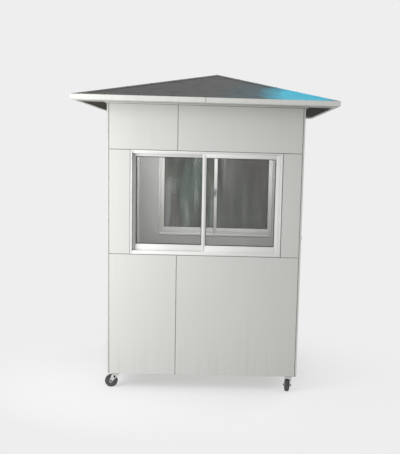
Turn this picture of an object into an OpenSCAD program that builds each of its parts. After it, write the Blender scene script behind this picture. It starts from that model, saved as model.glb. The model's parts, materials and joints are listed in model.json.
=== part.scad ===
// Guard booth: a square cabin with clad sandwich walls on four swivel casters. Three walls have
// a two-sash sliding window, the fourth has the door, and a low hipped sheet roof covers it.
// Millimetres, +Z up. The front wall faces -Y, and the origin is on the ground under the middle
// of the roof. Left and right are as seen by someone who stands in front of the booth.

/* [Cabin] */
// Width of the cabin over its cladding, left to right
body_w = 1500; // [1300:10:2400]
// Depth of the cabin over its cladding, front to back
body_d = 1500; // [1300:10:2400]
// Height of the cladding, from the underside of the base frame to its top edge
body_h = 2095; // [2090:5:2600]
// Thickness of a wall behind its cladding
wall_t = 50; // [40:1:100]

/* [Base and floor] */
// Width of a base frame beam
beam_w = 100; // [90:5:140]
// Height of a base frame beam
beam_h = 60; // [40:5:120]
// Width of a floor bearer between the beams
bearer_w = 60; // [40:5:100]
// Thickness of the floor board
floor_t = 18; // [12:1:30]

/* [Cladding] */
// Thickness of a cladding panel
clad_t = 4; // [3:0.5:8]
// Width of the joint between two panels
joint_w = 5; // [3:0.5:12]
// Width of the corner angle on each wall
corner_w = 12; // [8:1:40]
// Height of the lower band of panels, to the middle of the joint above it
lower_band_h = 955; // [700:1:1100]
// Height of the window band, from the middle of one joint to the middle of the next
window_band_h = 800; // [500:1:1000]
// Distance of the upright joint from the left corner of a wall
upright_joint_x = 536; // [300:1:900]

/* [Windows] */
// Width of the front window over its frame
front_window_w = 1160; // [800:10:1200]
// Distance of the front window's middle from the middle of its wall
front_window_x = 9; // [-20:1:20]
// Distance of the front window's meeting stiles from the middle of that window
front_meeting_x = -18; // [-60:1:60]
// Width of the left wall's window over its frame
left_window_w = 1100; // [700:10:1200]
// Width of the back window over its frame
back_window_w = 1080; // [700:10:1200]
// Distance of the back window's middle from the middle of its wall, seen from behind
back_window_x = -50; // [-60:1:60]
// Depth of a window frame through the wall
frame_depth = 60; // [58:1:100]
// How far a frame stands out from the cladding
frame_proud = 2; // [0:0.5:6]
// Face width of a window frame's head and jambs
frame_face = 12; // [8:1:40]
// Face height of a window frame's sill
sill_face = 18; // [10:1:60]
// Thickness of a sash
sash_t = 24; // [16:1:26]
// Distance between the outer sash and the inner sash
track_gap = 2; // [0.5:0.5:6]
// Depth of the outer sash behind the face of the cladding
sash_inset = 4; // [2:1:6]
// Height of a sash's bottom rail
rail_bottom = 58; // [30:1:90]
// Height of a sash's top rail
rail_top = 33; // [20:1:60]
// Width of the outer sash's stile at the jamb
outer_stile = 38; // [20:1:60]
// Width of the inner sash's stile at the jamb
inner_stile = 24; // [16:1:60]
// Width of the two stiles where the sashes meet
meeting_stile = 30; // [20:1:60]
// Clearance between a sash and its frame
sash_clear = 0.3; // [0.2:0.1:0.9]
// Thickness of the glass
glass_t = 5; // [4:1:10]

/* [Door] */
// Width of the door over its frame
door_w = 780; // [700:10:900]
// Height of the door over its frame
door_h = 1960; // [1850:10:2020]
// Face width of the door frame
door_frame_face = 40; // [25:1:60]
// Thickness of the door leaf
leaf_t = 40; // [30:1:50]
// Gap between the door leaf and its frame, and under the leaf
leaf_gap = 3; // [2:0.5:6]
// Width of the leaf's stiles and top rail beside its glass
leaf_stile = 110; // [80:5:160]
// Height of the leaf's lower part, up to its glass
leaf_panel_h = 900; // [600:10:1200]
// Height of the door handle above the underside of the door frame
handle_h = 1000; // [850:10:1100]

/* [Roof] */
// How far the roof reaches out past the cladding
eave = 230; // [120:5:400]
// Height of a fascia board
fascia_h = 36; // [30:1:120]
// Thickness of a fascia board
fascia_t = 20; // [18:1:40]
// Gap between the two lengths of the front fascia
fascia_joint = 3; // [1:0.5:10]
// Height of the wall above its cladding, up to the soffit
eaves_gap = 10; // [6:1:40]
// Thickness of the soffit and ceiling boards
soffit_t = 8; // [6:1:20]
// Rise of the roof from the top of the fascia to its peak
roof_rise = 258; // [150:1:600]
// How far the roof's peak stands to the right of the middle of the cabin
peak_x = 60; // [-100:5:100]
// Thickness of the roof sheet, measured straight up
roof_t = 4; // [3:0.5:5]

/* [Casters] */
// Height of a caster from the ground to the top of its plate
caster_h = 125; // [124:1:140]
// Diameter of a wheel
wheel_d = 100; // [80:1:100]
// Width of a tyre
tyre_w = 30; // [20:1:32]
// Width of a wheel's hub
hub_w = 38; // [34:1:44]
// Diameter of a wheel's hub
hub_d = 30; // [24:1:40]
// Diameter of the steel disc between hub and tyre
rim_d = 70; // [56:1:76]
// Distance from the swivel's axis back to the axle
trail = 35; // [20:1:45]
// Distance of a swivel's axis from the outside of the cladding
caster_in = 60; // [50:1:90]
// Side of a caster's square top plate
plate_w = 80; // [70:1:90]
// Thickness of a caster's top plate
plate_t = 5; // [3:0.5:8]
// Diameter of a kingpin
kingpin_d = 12; // [8:1:16]
// Diameter of an axle
axle_d = 10; // [8:1:14]
// Radial clearance of a kingpin and of an axle
pin_clear = 0.05; // [0.02:0.01:0.1]
// Thickness of a fork's legs and crown
fork_t = 4; // [3:0.5:5]
// Turn of the front left caster, 0 when it trails to the right
turn_front_left = 180; // [0:1:359]
// Turn of the front right caster
turn_front_right = 255; // [0:1:359]
// Turn of the back left caster
turn_back_left = 160; // [0:1:359]
// Turn of the back right caster
turn_back_right = 230; // [0:1:359]

/* [Hidden] */
$fn = 64;
base_z = caster_h;                          // underside of the base frame
base_top_z = base_z + beam_h;
lower_joint_z = base_z + lower_band_h;
upper_joint_z = lower_joint_z + window_band_h;
clad_top_z = base_z + body_h;
wall_top_z = clad_top_z + eaves_gap;
fascia_top_z = wall_top_z + fascia_h;
core_in = clad_t + wall_t;                  // inner face of a wall, from the outside of the cladding
window_z = lower_joint_z + joint_w / 2;     // underside of a window frame
window_h = window_band_h - joint_w;
inner_sash_y = sash_inset + sash_t + track_gap;
door_top_z = base_top_z + door_h;
eave_x = body_w / 2 + eave;
eave_y = body_d / 2 + eave;
seat_gap = 0.3;                             // between a part that turns and what it turns against
hinge_w = 30;
hinge_h = 90;
hinge_t = 2;
hinge_d = 14;
crown_z = caster_h - plate_t - seat_gap - 14; // underside of a fork's crown
leg_gap = hub_w + 2;                        // between the legs of a fork
pin_head_d = kingpin_d + 8;
pin_head_t = 4;
race_d = 52;
FRONT = 0;
RIGHT = 90;
BACK = 180;
LEFT = 270;

// ---- shared shapes ----

// Length of the wall on one side, and how far its outer face is from the middle
function side_len(side) = (side == FRONT || side == BACK) ? body_w : body_d;
function side_out(side) = (side == FRONT || side == BACK) ? body_d / 2 : body_w / 2;

// Puts a shape on one side of the cabin: there x runs along the wall, to the right of someone
// outside who faces it, y is 0 on the face of the cladding and grows inwards
module on_side(side) {
    rotate([0, 0, side])
        translate([0, -side_out(side), 0])
            children();
}

// A block between two corners
module block(x, y, z) {
    translate([x[0], y[0], z[0]])
        cube([x[1] - x[0], y[1] - y[0], z[1] - z[0]]);
}

// ---- base and floor ----

module base_cross_beams() {
    color("dimgray") {
        for (side = [FRONT, BACK])
            on_side(side)
                block([-body_w / 2 + clad_t, body_w / 2 - clad_t], [clad_t, clad_t + beam_w],
                    [base_z, base_top_z]);
        for (y = [-1, 1] * body_d / 6)
            translate([0, y, 0])
                block([-1, 1] * (body_w / 2 - clad_t - beam_w), [-1, 1] * bearer_w / 2,
                    [base_z, base_top_z]);
    }
}

module base_side_beams() {
    color("dimgray")
        for (side = [LEFT, RIGHT])
            on_side(side)
                block([-1, 1] * (body_d / 2 - clad_t - beam_w), [clad_t, clad_t + beam_w],
                    [base_z, base_top_z]);
}

module floor_board() {
    color("tan")
        block([-1, 1] * (body_w / 2 - core_in), [-1, 1] * (body_d / 2 - core_in),
            [base_top_z, base_top_z + floor_t]);
}

// ---- walls ----

// The front and back walls run past the ends of the side walls
function core_half(side) = side_len(side) / 2 - ((side == FRONT || side == BACK) ? clad_t : core_in);

module window_wall(side, window_w, window_x) {
    color("whitesmoke")
        on_side(side)
            difference() {
                block([-1, 1] * core_half(side), [clad_t, core_in], [base_top_z, wall_top_z]);
                block([window_x - window_w / 2, window_x + window_w / 2], [0, core_in + 1],
                    [window_z, window_z + window_h]);
            }
}

// The right wall beside its door, in front of it or behind it
module door_wall(x) {
    color("whitesmoke")
        on_side(RIGHT)
            block(x, [clad_t, core_in], [base_top_z, wall_top_z]);
}

module door_wall_head() {
    color("whitesmoke")
        on_side(RIGHT)
            block([-1, 1] * door_w / 2, [clad_t, core_in], [door_top_z, wall_top_z]);
}

// ---- cladding ----

module corner_angles() {
    color("silver")
        for (sx = [-1, 1], sy = [-1, 1])
            scale([sx, sy, 1])
                translate([body_w / 2 - corner_w, body_d / 2 - corner_w, base_z])
                    difference() {
                        cube([corner_w, corner_w, body_h]);
                        translate([-1, -1, -1])
                            cube([corner_w - clad_t + 1, corner_w - clad_t + 1, body_h + 2]);
                    }
}

// The lower, window and upper bands, each from the bottom to the top of its panels
lower_band = [base_z, lower_joint_z - joint_w / 2];
window_band = [lower_joint_z + joint_w / 2, upper_joint_z - joint_w / 2];
upper_band = [upper_joint_z + joint_w / 2, clad_top_z];

// From the outer end of a wall's panels to its upright joint, on the left and on the right of it
function panel_end(side) = side_len(side) / 2 - corner_w - joint_w;
function left_part(side) = [-panel_end(side), -side_len(side) / 2 + upright_joint_x - joint_w / 2];
function right_part(side) = [-side_len(side) / 2 + upright_joint_x + joint_w / 2, panel_end(side)];

// From the outer end of a wall's panels to the frame in the middle of it
function left_pier(side, w, x) = [-panel_end(side), x - w / 2 - joint_w];
function right_pier(side, w, x) = [x + w / 2 + joint_w, panel_end(side)];

module panel(side, x, z) {
    color("gainsboro")
        on_side(side)
            block(x, [0, clad_t], z);
}

// All the panels of a wall that has a window
module window_wall_cladding(side, window_w, window_x) {
    for (band = [lower_band, upper_band]) {
        panel(side, left_part(side), band);
        panel(side, right_part(side), band);
    }
    panel(side, left_pier(side, window_w, window_x), window_band);
    panel(side, right_pier(side, window_w, window_x), window_band);
}

module door_wall_cladding() {
    for (band = [lower_band, window_band, upper_band]) {
        panel(RIGHT, left_pier(RIGHT, door_w, 0), band);
        panel(RIGHT, right_pier(RIGHT, door_w, 0), band);
    }
    panel(RIGHT, [-1, 1] * door_w / 2, [door_top_z + joint_w, clad_top_z]);
}

// ---- sliding windows ----

module window_frame(side, window_w, window_x) {
    color("white")
        on_side(side)
            translate([window_x, 0, 0])
                difference() {
                    block([-1, 1] * window_w / 2, [-frame_proud, frame_depth - frame_proud],
                        [window_z, window_z + window_h]);
                    block([-1, 1] * (window_w / 2 - frame_face), [-frame_proud - 1, frame_depth],
                        [window_z + sill_face, window_z + window_h - frame_face]);
                }
}

// Both sashes stand between the sill and the head of their frame
sash_z = [window_z + sill_face + sash_clear, window_z + window_h - frame_face - sash_clear];
sash_glass_z = [sash_z[0] + rail_bottom, sash_z[1] - rail_top];

// The outer sash reaches from the meeting stiles to the right jamb, the inner one to the left jamb
function outer_sash_x(w, meeting_x) = [meeting_x - meeting_stile / 2, w / 2 - frame_face - sash_clear];
function inner_sash_x(w, meeting_x) = [-w / 2 + frame_face + sash_clear, meeting_x + meeting_stile / 2];
function outer_glass_x(w, meeting_x) =
    [outer_sash_x(w, meeting_x)[0] + meeting_stile, outer_sash_x(w, meeting_x)[1] - outer_stile];
function inner_glass_x(w, meeting_x) =
    [inner_sash_x(w, meeting_x)[0] + inner_stile, inner_sash_x(w, meeting_x)[1] - meeting_stile];

module sash(side, window_x, sash_x, glass_x, y) {
    color("white")
        on_side(side)
            translate([window_x, y, 0])
                difference() {
                    block(sash_x, [0, sash_t], sash_z);
                    block(glass_x, [-1, sash_t + 1], sash_glass_z);
                }
}

module outer_sash(side, window_w, window_x, meeting_x) {
    sash(side, window_x, outer_sash_x(window_w, meeting_x), outer_glass_x(window_w, meeting_x),
        sash_inset);
}

module inner_sash(side, window_w, window_x, meeting_x) {
    sash(side, window_x, inner_sash_x(window_w, meeting_x), inner_glass_x(window_w, meeting_x),
        inner_sash_y);
}

// One pane in each sash
module window_glass(side, window_w, window_x, meeting_x) {
    pane = [-1, 1] * glass_t / 2;
    color("slategray")
        on_side(side)
            translate([window_x, sash_t / 2, 0]) {
                translate([0, sash_inset, 0])
                    block(outer_glass_x(window_w, meeting_x), pane, sash_glass_z);
                translate([0, inner_sash_y, 0])
                    block(inner_glass_x(window_w, meeting_x), pane, sash_glass_z);
            }
}

// ---- door in the right wall ----

leaf_half = door_w / 2 - door_frame_face - leaf_gap;
leaf_z = [base_top_z + leaf_gap, door_top_z - door_frame_face - leaf_gap];
leaf_glass_x = [-1, 1] * (leaf_half - leaf_stile);
leaf_glass_z = [leaf_z[0] + leaf_panel_h, leaf_z[1] - leaf_stile];

module door_frame() {
    color("white")
        on_side(RIGHT)
            difference() {
                block([-1, 1] * door_w / 2, [-frame_proud, core_in], [base_top_z, door_top_z]);
                block([-1, 1] * (door_w / 2 - door_frame_face), [-frame_proud - 1, core_in + 1],
                    [base_top_z - 1, door_top_z - door_frame_face]);
            }
}

module door_leaf() {
    color("white")
        on_side(RIGHT)
            difference() {
                block([-1, 1] * leaf_half, [-frame_proud, leaf_t - frame_proud], leaf_z);
                block(leaf_glass_x, [-frame_proud - 1, leaf_t], leaf_glass_z);
            }
}

module door_glass() {
    color("slategray")
        on_side(RIGHT)
            translate([0, leaf_t / 2 - frame_proud, 0])
                block(leaf_glass_x, [-1, 1] * glass_t / 2, leaf_glass_z);
}

// A lever on its backplate, outside and inside, near the stile that closes
module door_handles() {
    handle_x = -leaf_half + leaf_stile / 2;
    color("silver")
        on_side(RIGHT)
            for (face = [[-frame_proud, -1], [leaf_t - frame_proud, 1]])
                translate([handle_x, face[0], base_top_z + handle_h])
                    rotate([face[1] * -90, 0, 0]) {
                        translate([-18, -60, 0])
                            cube([36, 120, 6]);
                        cylinder(d = 18, h = 40);
                        translate([-9, -9, 34])
                            cube([110, 18, 12]);
                    }
}

// Three butt hinges, each with its plate across the gap between the leaf and its frame
module door_hinges() {
    hinge_x = leaf_half + leaf_gap / 2;
    color("silver")
        on_side(RIGHT)
            for (share = [0.12, 0.5, 0.88])
                translate([hinge_x, -frame_proud, leaf_z[0] + share * (leaf_z[1] - leaf_z[0])]) {
                    block([-1, 1] * hinge_w / 2, [-hinge_t, 0], [-1, 1] * hinge_h / 2);
                    translate([0, -hinge_d / 2, -hinge_h / 2])
                        cylinder(d = hinge_d, h = hinge_h);
                }
}

// ---- roof ----

// The ceiling and the soffit meet over the middle of the walls
ceiling_in = clad_t + wall_t / 2;

module ceiling() {
    color("whitesmoke")
        block([-1, 1] * (body_w / 2 - ceiling_in), [-1, 1] * (body_d / 2 - ceiling_in),
            [wall_top_z, wall_top_z + soffit_t]);
}

module front_and_back_soffit() {
    color("gray")
        for (side = [FRONT, BACK])
            on_side(side)
                block([-1, 1] * (eave_x - fascia_t), [-eave + fascia_t, ceiling_in],
                    [wall_top_z, wall_top_z + soffit_t]);
}

module side_soffits() {
    color("gray")
        for (side = [LEFT, RIGHT])
            on_side(side)
                block([-1, 1] * (body_d / 2 - ceiling_in), [-eave + fascia_t, ceiling_in],
                    [wall_top_z, wall_top_z + soffit_t]);
}

module front_fascia() {
    color("gainsboro")
        on_side(FRONT)
            for (sx = [-1, 1])
                scale([sx, 1, 1])
                    block([fascia_joint / 2, eave_x], [-eave, -eave + fascia_t],
                        [wall_top_z, fascia_top_z]);
}

module back_fascia() {
    color("gainsboro")
        on_side(BACK)
            block([-1, 1] * eave_x, [-eave, -eave + fascia_t], [wall_top_z, fascia_top_z]);
}

module side_fascias() {
    color("gainsboro")
        for (side = [LEFT, RIGHT])
            on_side(side)
                block([-1, 1] * (eave_y - fascia_t), [-eave, -eave + fascia_t],
                    [wall_top_z, fascia_top_z]);
}

// Four sloping sheets that meet at a peak over the middle, open underneath
module roof_sheet() {
    peak = [peak_x, 0, 0];
    outer = [for (s = [[-1, -1], [1, -1], [1, 1], [-1, 1]]) [s[0] * eave_x, s[1] * eave_y, 0]];
    inner = [for (corner = outer) peak + (corner - peak) * (1 - roof_t / roof_rise)];
    color("dimgray")
        translate([0, 0, fascia_top_z])
            polyhedron(
                points = concat(outer, inner,
                    [peak + [0, 0, roof_rise], peak + [0, 0, roof_rise - roof_t]]),
                faces = concat(
                    [for (i = [0:3]) [(i + 1) % 4, i, 8]],
                    [for (i = [0:3]) [4 + i, 4 + (i + 1) % 4, 9]],
                    [for (i = [0:3]) [i, (i + 1) % 4, 4 + (i + 1) % 4, 4 + i]]));
}

// ---- casters ----

// Puts a shape on a caster's swivel axis; sx and sy choose the corner, and its local x is the
// way in which the caster trails
module on_caster(sx, sy, turn) {
    translate([sx * (body_w / 2 - caster_in), sy * (body_d / 2 - caster_in), 0])
        rotate([0, 0, turn])
            children();
}

// The plate stays square to the cabin, with the kingpin that the fork turns on
module caster_plate(sx, sy) {
    color("silver")
        on_caster(sx, sy, 0) {
            translate([-plate_w / 2, -plate_w / 2, caster_h - plate_t])
                cube([plate_w, plate_w, plate_t]);
            translate([0, 0, crown_z - seat_gap])
                cylinder(d = kingpin_d, h = caster_h - crown_z);
            translate([0, 0, crown_z - seat_gap - pin_head_t])
                cylinder(d = pin_head_d, h = pin_head_t);
        }
}

// One leg, drawn in the plane of the wheel: from the crown down to a round end at the axle
module fork_leg() {
    end_r = axle_d / 2 + 8;
    leg_top_z = crown_z + fork_t;
    rotate([90, 0, 0])
        linear_extrude(height = fork_t)
            polygon([[-race_d / 2, leg_top_z], [race_d / 2, leg_top_z],
                [trail + end_r, wheel_d / 2], [trail, wheel_d / 2 - end_r], [trail - end_r, wheel_d / 2],
                [-race_d / 2, crown_z - 8]]);
    translate([trail, 0, wheel_d / 2])
        rotate([90, 0, 0])
            cylinder(r = end_r, h = fork_t);
}

module fork(sx, sy, turn) {
    color("silver")
        on_caster(sx, sy, turn)
            difference() {
                union() {
                    translate([0, 0, crown_z])
                        cylinder(d = race_d, h = caster_h - plate_t - seat_gap - crown_z);
                    block([-1, 1] * race_d / 2, [-1, 1] * (leg_gap / 2 + fork_t),
                        [crown_z, crown_z + fork_t]);
                    translate([0, -leg_gap / 2, 0])
                        fork_leg();
                    translate([0, leg_gap / 2 + fork_t, 0])
                        fork_leg();
                    translate([trail, leg_gap / 2 + fork_t, wheel_d / 2])
                        rotate([90, 0, 0])
                            cylinder(d = axle_d, h = leg_gap + 2 * fork_t);
                }
                translate([0, 0, crown_z - 1])
                    cylinder(r = kingpin_d / 2 + pin_clear, h = caster_h);
            }
}

// Hub, disc and tyre in one turned shape with the axle's bore through it
module wheel(sx, sy, turn) {
    tread_r = wheel_d / 2;
    shoulder = 4;
    disc_w = tyre_w * 0.6;
    color("dimgray")
        on_caster(sx, sy, turn)
            translate([trail, 0, tread_r])
                rotate([90, 0, 0])
                    rotate_extrude()
                        polygon([
                            [axle_d / 2 + pin_clear, -hub_w / 2], [hub_d / 2, -hub_w / 2],
                            [hub_d / 2, -disc_w / 2], [rim_d / 2, -disc_w / 2],
                            [rim_d / 2, -tyre_w / 2], [tread_r - shoulder, -tyre_w / 2],
                            [tread_r, -tyre_w / 2 + shoulder], [tread_r, tyre_w / 2 - shoulder],
                            [tread_r - shoulder, tyre_w / 2], [rim_d / 2, tyre_w / 2],
                            [rim_d / 2, disc_w / 2], [hub_d / 2, disc_w / 2],
                            [hub_d / 2, hub_w / 2], [axle_d / 2 + pin_clear, hub_w / 2]]);
}

// ---- nodes ----

base_cross_beams();
base_side_beams();
floor_board();
window_wall(FRONT, front_window_w, front_window_x);  // front_wall
window_wall(BACK, back_window_w, back_window_x);  // back_wall
window_wall(LEFT, left_window_w, 0);  // left_wall
door_wall([-core_half(RIGHT), -door_w / 2]);  // right_wall_front
door_wall([door_w / 2, core_half(RIGHT)]);  // right_wall_rear
door_wall_head();  // right_wall_head
corner_angles();
panel(FRONT, left_part(FRONT), lower_band);  // front_lower_left_panel
panel(FRONT, right_part(FRONT), lower_band);  // front_lower_right_panel
panel(FRONT, left_pier(FRONT, front_window_w, front_window_x), window_band);  // front_left_pier_panel
panel(FRONT, right_pier(FRONT, front_window_w, front_window_x), window_band);  // front_right_pier_panel
panel(FRONT, left_part(FRONT), upper_band);  // front_upper_left_panel
panel(FRONT, right_part(FRONT), upper_band);  // front_upper_right_panel
window_wall_cladding(LEFT, left_window_w, 0);  // left_cladding
door_wall_cladding();  // right_cladding
window_wall_cladding(BACK, back_window_w, back_window_x);  // back_cladding
window_frame(FRONT, front_window_w, front_window_x);  // front_window_frame
inner_sash(FRONT, front_window_w, front_window_x, front_meeting_x);  // front_window_inner_sash
outer_sash(FRONT, front_window_w, front_window_x, front_meeting_x);  // front_window_outer_sash
window_glass(FRONT, front_window_w, front_window_x, front_meeting_x);  // front_window_glass
window_frame(LEFT, left_window_w, 0);  // left_window_frame
inner_sash(LEFT, left_window_w, 0, 0);  // left_window_inner_sash
outer_sash(LEFT, left_window_w, 0, 0);  // left_window_outer_sash
window_glass(LEFT, left_window_w, 0, 0);  // left_window_glass
window_frame(BACK, back_window_w, back_window_x);  // back_window_frame
inner_sash(BACK, back_window_w, back_window_x, 0);  // back_window_inner_sash
outer_sash(BACK, back_window_w, back_window_x, 0);  // back_window_outer_sash
window_glass(BACK, back_window_w, back_window_x, 0);  // back_window_glass
door_frame();
door_leaf();
door_glass();
door_handles();
door_hinges();
ceiling();
front_and_back_soffit();
side_soffits();
front_fascia();
back_fascia();
side_fascias();
roof_sheet();
caster_plate(-1, -1);  // front_left_caster_plate
fork(-1, -1, turn_front_left);  // front_left_fork
wheel(-1, -1, turn_front_left);  // front_left_wheel
caster_plate(1, -1);  // front_right_caster_plate
fork(1, -1, turn_front_right);  // front_right_fork
wheel(1, -1, turn_front_right);  // front_right_wheel
caster_plate(-1, 1);  // back_left_caster_plate
fork(-1, 1, turn_back_left);  // back_left_fork
wheel(-1, 1, turn_back_left);  // back_left_wheel
caster_plate(1, 1);  // back_right_caster_plate
fork(1, 1, turn_back_right);  // back_right_fork
wheel(1, 1, turn_back_right);  // back_right_wheel
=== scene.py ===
import json
from math import cos, pi, radians, sin

import bmesh
import bpy
from bpy.props import FloatProperty, FloatVectorProperty, PointerProperty
from mathutils import Matrix, Vector


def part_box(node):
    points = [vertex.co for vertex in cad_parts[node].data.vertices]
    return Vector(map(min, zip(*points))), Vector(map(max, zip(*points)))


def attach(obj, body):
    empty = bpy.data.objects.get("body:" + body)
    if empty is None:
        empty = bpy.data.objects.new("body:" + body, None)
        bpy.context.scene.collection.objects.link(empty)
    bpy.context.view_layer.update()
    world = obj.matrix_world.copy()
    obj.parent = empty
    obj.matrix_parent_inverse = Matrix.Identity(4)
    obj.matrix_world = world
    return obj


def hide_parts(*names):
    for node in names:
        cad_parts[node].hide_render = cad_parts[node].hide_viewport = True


bl_info = {
    "name": "Guard booth finish",
    "version": (1, 0, 0),
    "blender": (4, 5, 0),
    "location": "View3D > Sidebar > Booth",
    "description": "Trims, seals, windows, door, roof, casters and finishes of a guard booth",
    "category": "Add Mesh",
}

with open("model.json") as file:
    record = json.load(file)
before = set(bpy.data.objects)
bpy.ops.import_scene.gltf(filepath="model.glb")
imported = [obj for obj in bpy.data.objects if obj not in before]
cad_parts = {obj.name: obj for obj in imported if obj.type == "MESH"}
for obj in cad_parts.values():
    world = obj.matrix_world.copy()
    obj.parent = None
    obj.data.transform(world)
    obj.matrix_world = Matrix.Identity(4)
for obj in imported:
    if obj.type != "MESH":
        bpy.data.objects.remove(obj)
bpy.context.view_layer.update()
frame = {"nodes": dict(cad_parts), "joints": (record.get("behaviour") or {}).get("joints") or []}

# The four walls, by their turn about the vertical from the front wall
FRONT, RIGHT, BACK, LEFT = 0, 90, 180, 270
CORNERS = ("front_left", "front_right", "back_left", "back_right")
WINDOWS = (("front_window", FRONT), ("left_window", LEFT), ("back_window", BACK))
WALL_OUT = {
    FRONT: -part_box("front_lower_left_panel")[0].y,
    RIGHT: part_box("right_cladding")[1].x,
    BACK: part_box("back_cladding")[1].y,
    LEFT: -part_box("left_cladding")[0].x,
}


# How far fitted parts stand clear of each other, in metres
FIT = 0.0003
# How far a gasket lies behind the face of its sash, and the sheet that the roof is folded from
GASKET_BACK = 0.0045
ROOF_GAUGE = 0.0015
# The width of the door frame's bars, and the stop and the seal inside them
DOOR_FRAME_BAR = 0.04
STOP_WIDTH, SEAL_WIDTH = 0.014, 0.008
# Half the width of the bearers under the floor, and how far a side beam reaches in
BEARER_HALF, SIDE_BEAM = 0.030, 0.1
# How far a screw's middle lies from the hip or the eave
SCREW_INSET = 0.022
# The height of a hinge, and of a caster's raceway from its crown to its plate
HINGE_TALL, RACE_TALL = 0.090, 0.014
# How nearly a face or an edge points along an axis to count as square to it
SQUARE_ON = 0.9


# ---- sizes and colours that a user would change ----

def length(name, description, default):
    return FloatProperty(name=name, description=description, default=default, min=0.0,
                         unit="LENGTH", precision=4)


def level(name, description, default, **more):
    return FloatProperty(name=name, description=description, default=default, min=0.0, **more)


def colour(name, description, default):
    return FloatVectorProperty(name=name, description=description, default=default, size=3,
                               min=0.0, max=1.0, subtype="COLOR")


class BoothSizes(bpy.types.PropertyGroup):
    bead_depth: length("Bead depth", "How far a sealant bead lies behind the cladding", 0.0012)
    gasket_width: length("Gasket width", "Width of the rubber round a pane that shows", 0.0055)
    sash_step: length("Sash step", "Width of the step round the glass in a sash", 0.008)
    edge_round: length("Edge rounding", "Rounding of an extruded bar's edges", 0.0012)
    hip_cap: length("Hip cap", "Width of the folded cap beside a hip and along the eave", 0.045)
    cap_step: length("Cap step", "How far the roof sheet lies below its caps", 0.002)
    skirting: length("Skirting height", "Height of the trim round the floor", 0.06)
    tyre_round: length("Tyre rounding", "Rounding of a tyre's shoulders", 0.006)
    bolt_head: length("Bolt head", "Width of a caster's bolt heads", 0.012)


class BoothColours(bpy.types.PropertyGroup):
    cladding: colour("Cladding", "Silver white composite sheet", (0.545, 0.550, 0.525))
    window: colour("Windows and door", "White powder coat", (0.71, 0.71, 0.69))
    lining: colour("Lining", "Painted sheet inside", (0.50, 0.50, 0.485))
    roof: colour("Roof", "Dark grey satin paint", (0.046, 0.049, 0.046))
    # Painted reflection: the blue of a sky reflection, painted into the roof round its front right
    # corner
    roof_painted_reflection: colour("Roof tint", "Blue of the roof towards its right corner",
                      (0.03, 0.60, 0.84))
    # Painted light: the front and back soffit is painted pale for the light thrown up from below;
    # it is the same board as the side soffit
    soffit: colour("Soffit", "Boards under the front and back eaves", (0.50, 0.50, 0.47))
    # Painted shade: the side soffit is painted near black for the shade under the side eaves
    side_soffit: colour("Side soffit", "Boards under the side eaves", (0.042, 0.037, 0.030))
    glass: colour("Glass", "Tint of the panes", (0.035, 0.05, 0.055))
    rubber: colour("Rubber", "Tyres and gaskets", (0.045, 0.045, 0.048))
    zinc: colour("Zinc", "Plated steel of the casters", (0.74, 0.74, 0.72))
    floor: colour("Floor", "Floor covering", (0.33, 0.24, 0.16))


class BoothStudio(bpy.types.PropertyGroup):
    key_power: level("Key light", "Power of the soft light at the left", 113.0, subtype="POWER")
    fill_power: level("Fill light", "Power of the soft light behind the right corner", 85.0,
                      subtype="POWER")
    lamp_power: level("Inside light", "Power of the light inside", 23.0, subtype="POWER")
    backdrop: level("Backdrop", "Brightness of the plain surroundings", 0.855)
    room_light: level("Room light", "Light from the surroundings", 0.72)
    from_below: level("Light from below", "Share of the room light that comes from below", 0.40,
                      max=1.0)


# ---- modelling steps ----

def pick(*chosen):
    """Leaves only these objects selected, the last one active"""
    if bpy.context.object and bpy.context.object.mode != "OBJECT":
        bpy.ops.object.mode_set(mode="OBJECT")
    bpy.ops.object.select_all(action="DESELECT")
    for piece in chosen:
        piece.select_set(True)
        bpy.context.view_layer.objects.active = piece


def settle(piece):
    """Moves the object's place into its mesh"""
    pick(piece)
    bpy.ops.object.transform_apply(location=True, rotation=True, scale=True)


def edit(piece, kind="FACE"):
    pick(piece)
    bpy.ops.object.mode_set(mode="EDIT")
    bpy.ops.mesh.select_mode(type=kind)
    bpy.ops.mesh.select_all(action="DESELECT")


def choose(piece, test):
    """In edit mode, selects just the faces or edges for which the test holds"""
    shape = bmesh.from_edit_mesh(piece.data)
    by_edge = bpy.context.tool_settings.mesh_select_mode[1]
    parts = shape.edges if by_edge else shape.faces
    for part in shape.faces:
        part.select_set(False)
    for part in shape.edges:
        part.select_set(False)
    found = [part for part in parts if test(part)]
    for part in found:
        part.select_set(True)
    if not found:
        raise RuntimeError(f"nothing to select on {piece.name}")
    bmesh.update_edit_mesh(piece.data)


def leave_edit():
    bpy.ops.object.mode_set(mode="OBJECT")


def throw_away(*pieces):
    pick(*pieces)
    bpy.ops.object.delete()


def round_edges(piece, width, segments=2, angle=40):
    if width <= 0:
        return
    pick(piece)
    bevel = piece.modifiers.new("rounding", "BEVEL")
    bevel.width = width
    bevel.segments = segments
    bevel.limit_method = "ANGLE"
    bevel.angle_limit = radians(angle)
    bpy.ops.object.modifier_apply(modifier=bevel.name)


def smooth(piece, angle=35):
    pick(piece)
    bpy.ops.object.shade_smooth_by_angle(angle=radians(angle))


def round_corners(plate, axis, width, edge):
    """Rounds a plate's corners, which run along an axis, and then all its edges"""
    edit(plate, "EDGE")
    choose(plate, lambda e: abs((e.verts[0].co - e.verts[1].co).normalized()[axis]) > SQUARE_ON)
    bpy.ops.mesh.bevel(offset=width, segments=6, affect="EDGES")
    leave_edit()
    round_edges(plate, edge, 2)
    smooth(plate)


def bars(name, boxes, edge=0.001, segments=2):
    """One piece of straight bars, each between its low and its high corner"""
    pick()
    piece = None
    for low, high in boxes:
        low, high = Vector(low), Vector(high)
        bpy.ops.mesh.primitive_cube_add(size=1, location=(low + high) / 2, scale=high - low)
        if piece is None:
            piece = bpy.context.object
            piece.name = name
            settle(piece)
            bpy.ops.object.mode_set(mode="EDIT")
    leave_edit()
    round_edges(piece, edge, segments)
    smooth(piece)
    return piece


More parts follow.
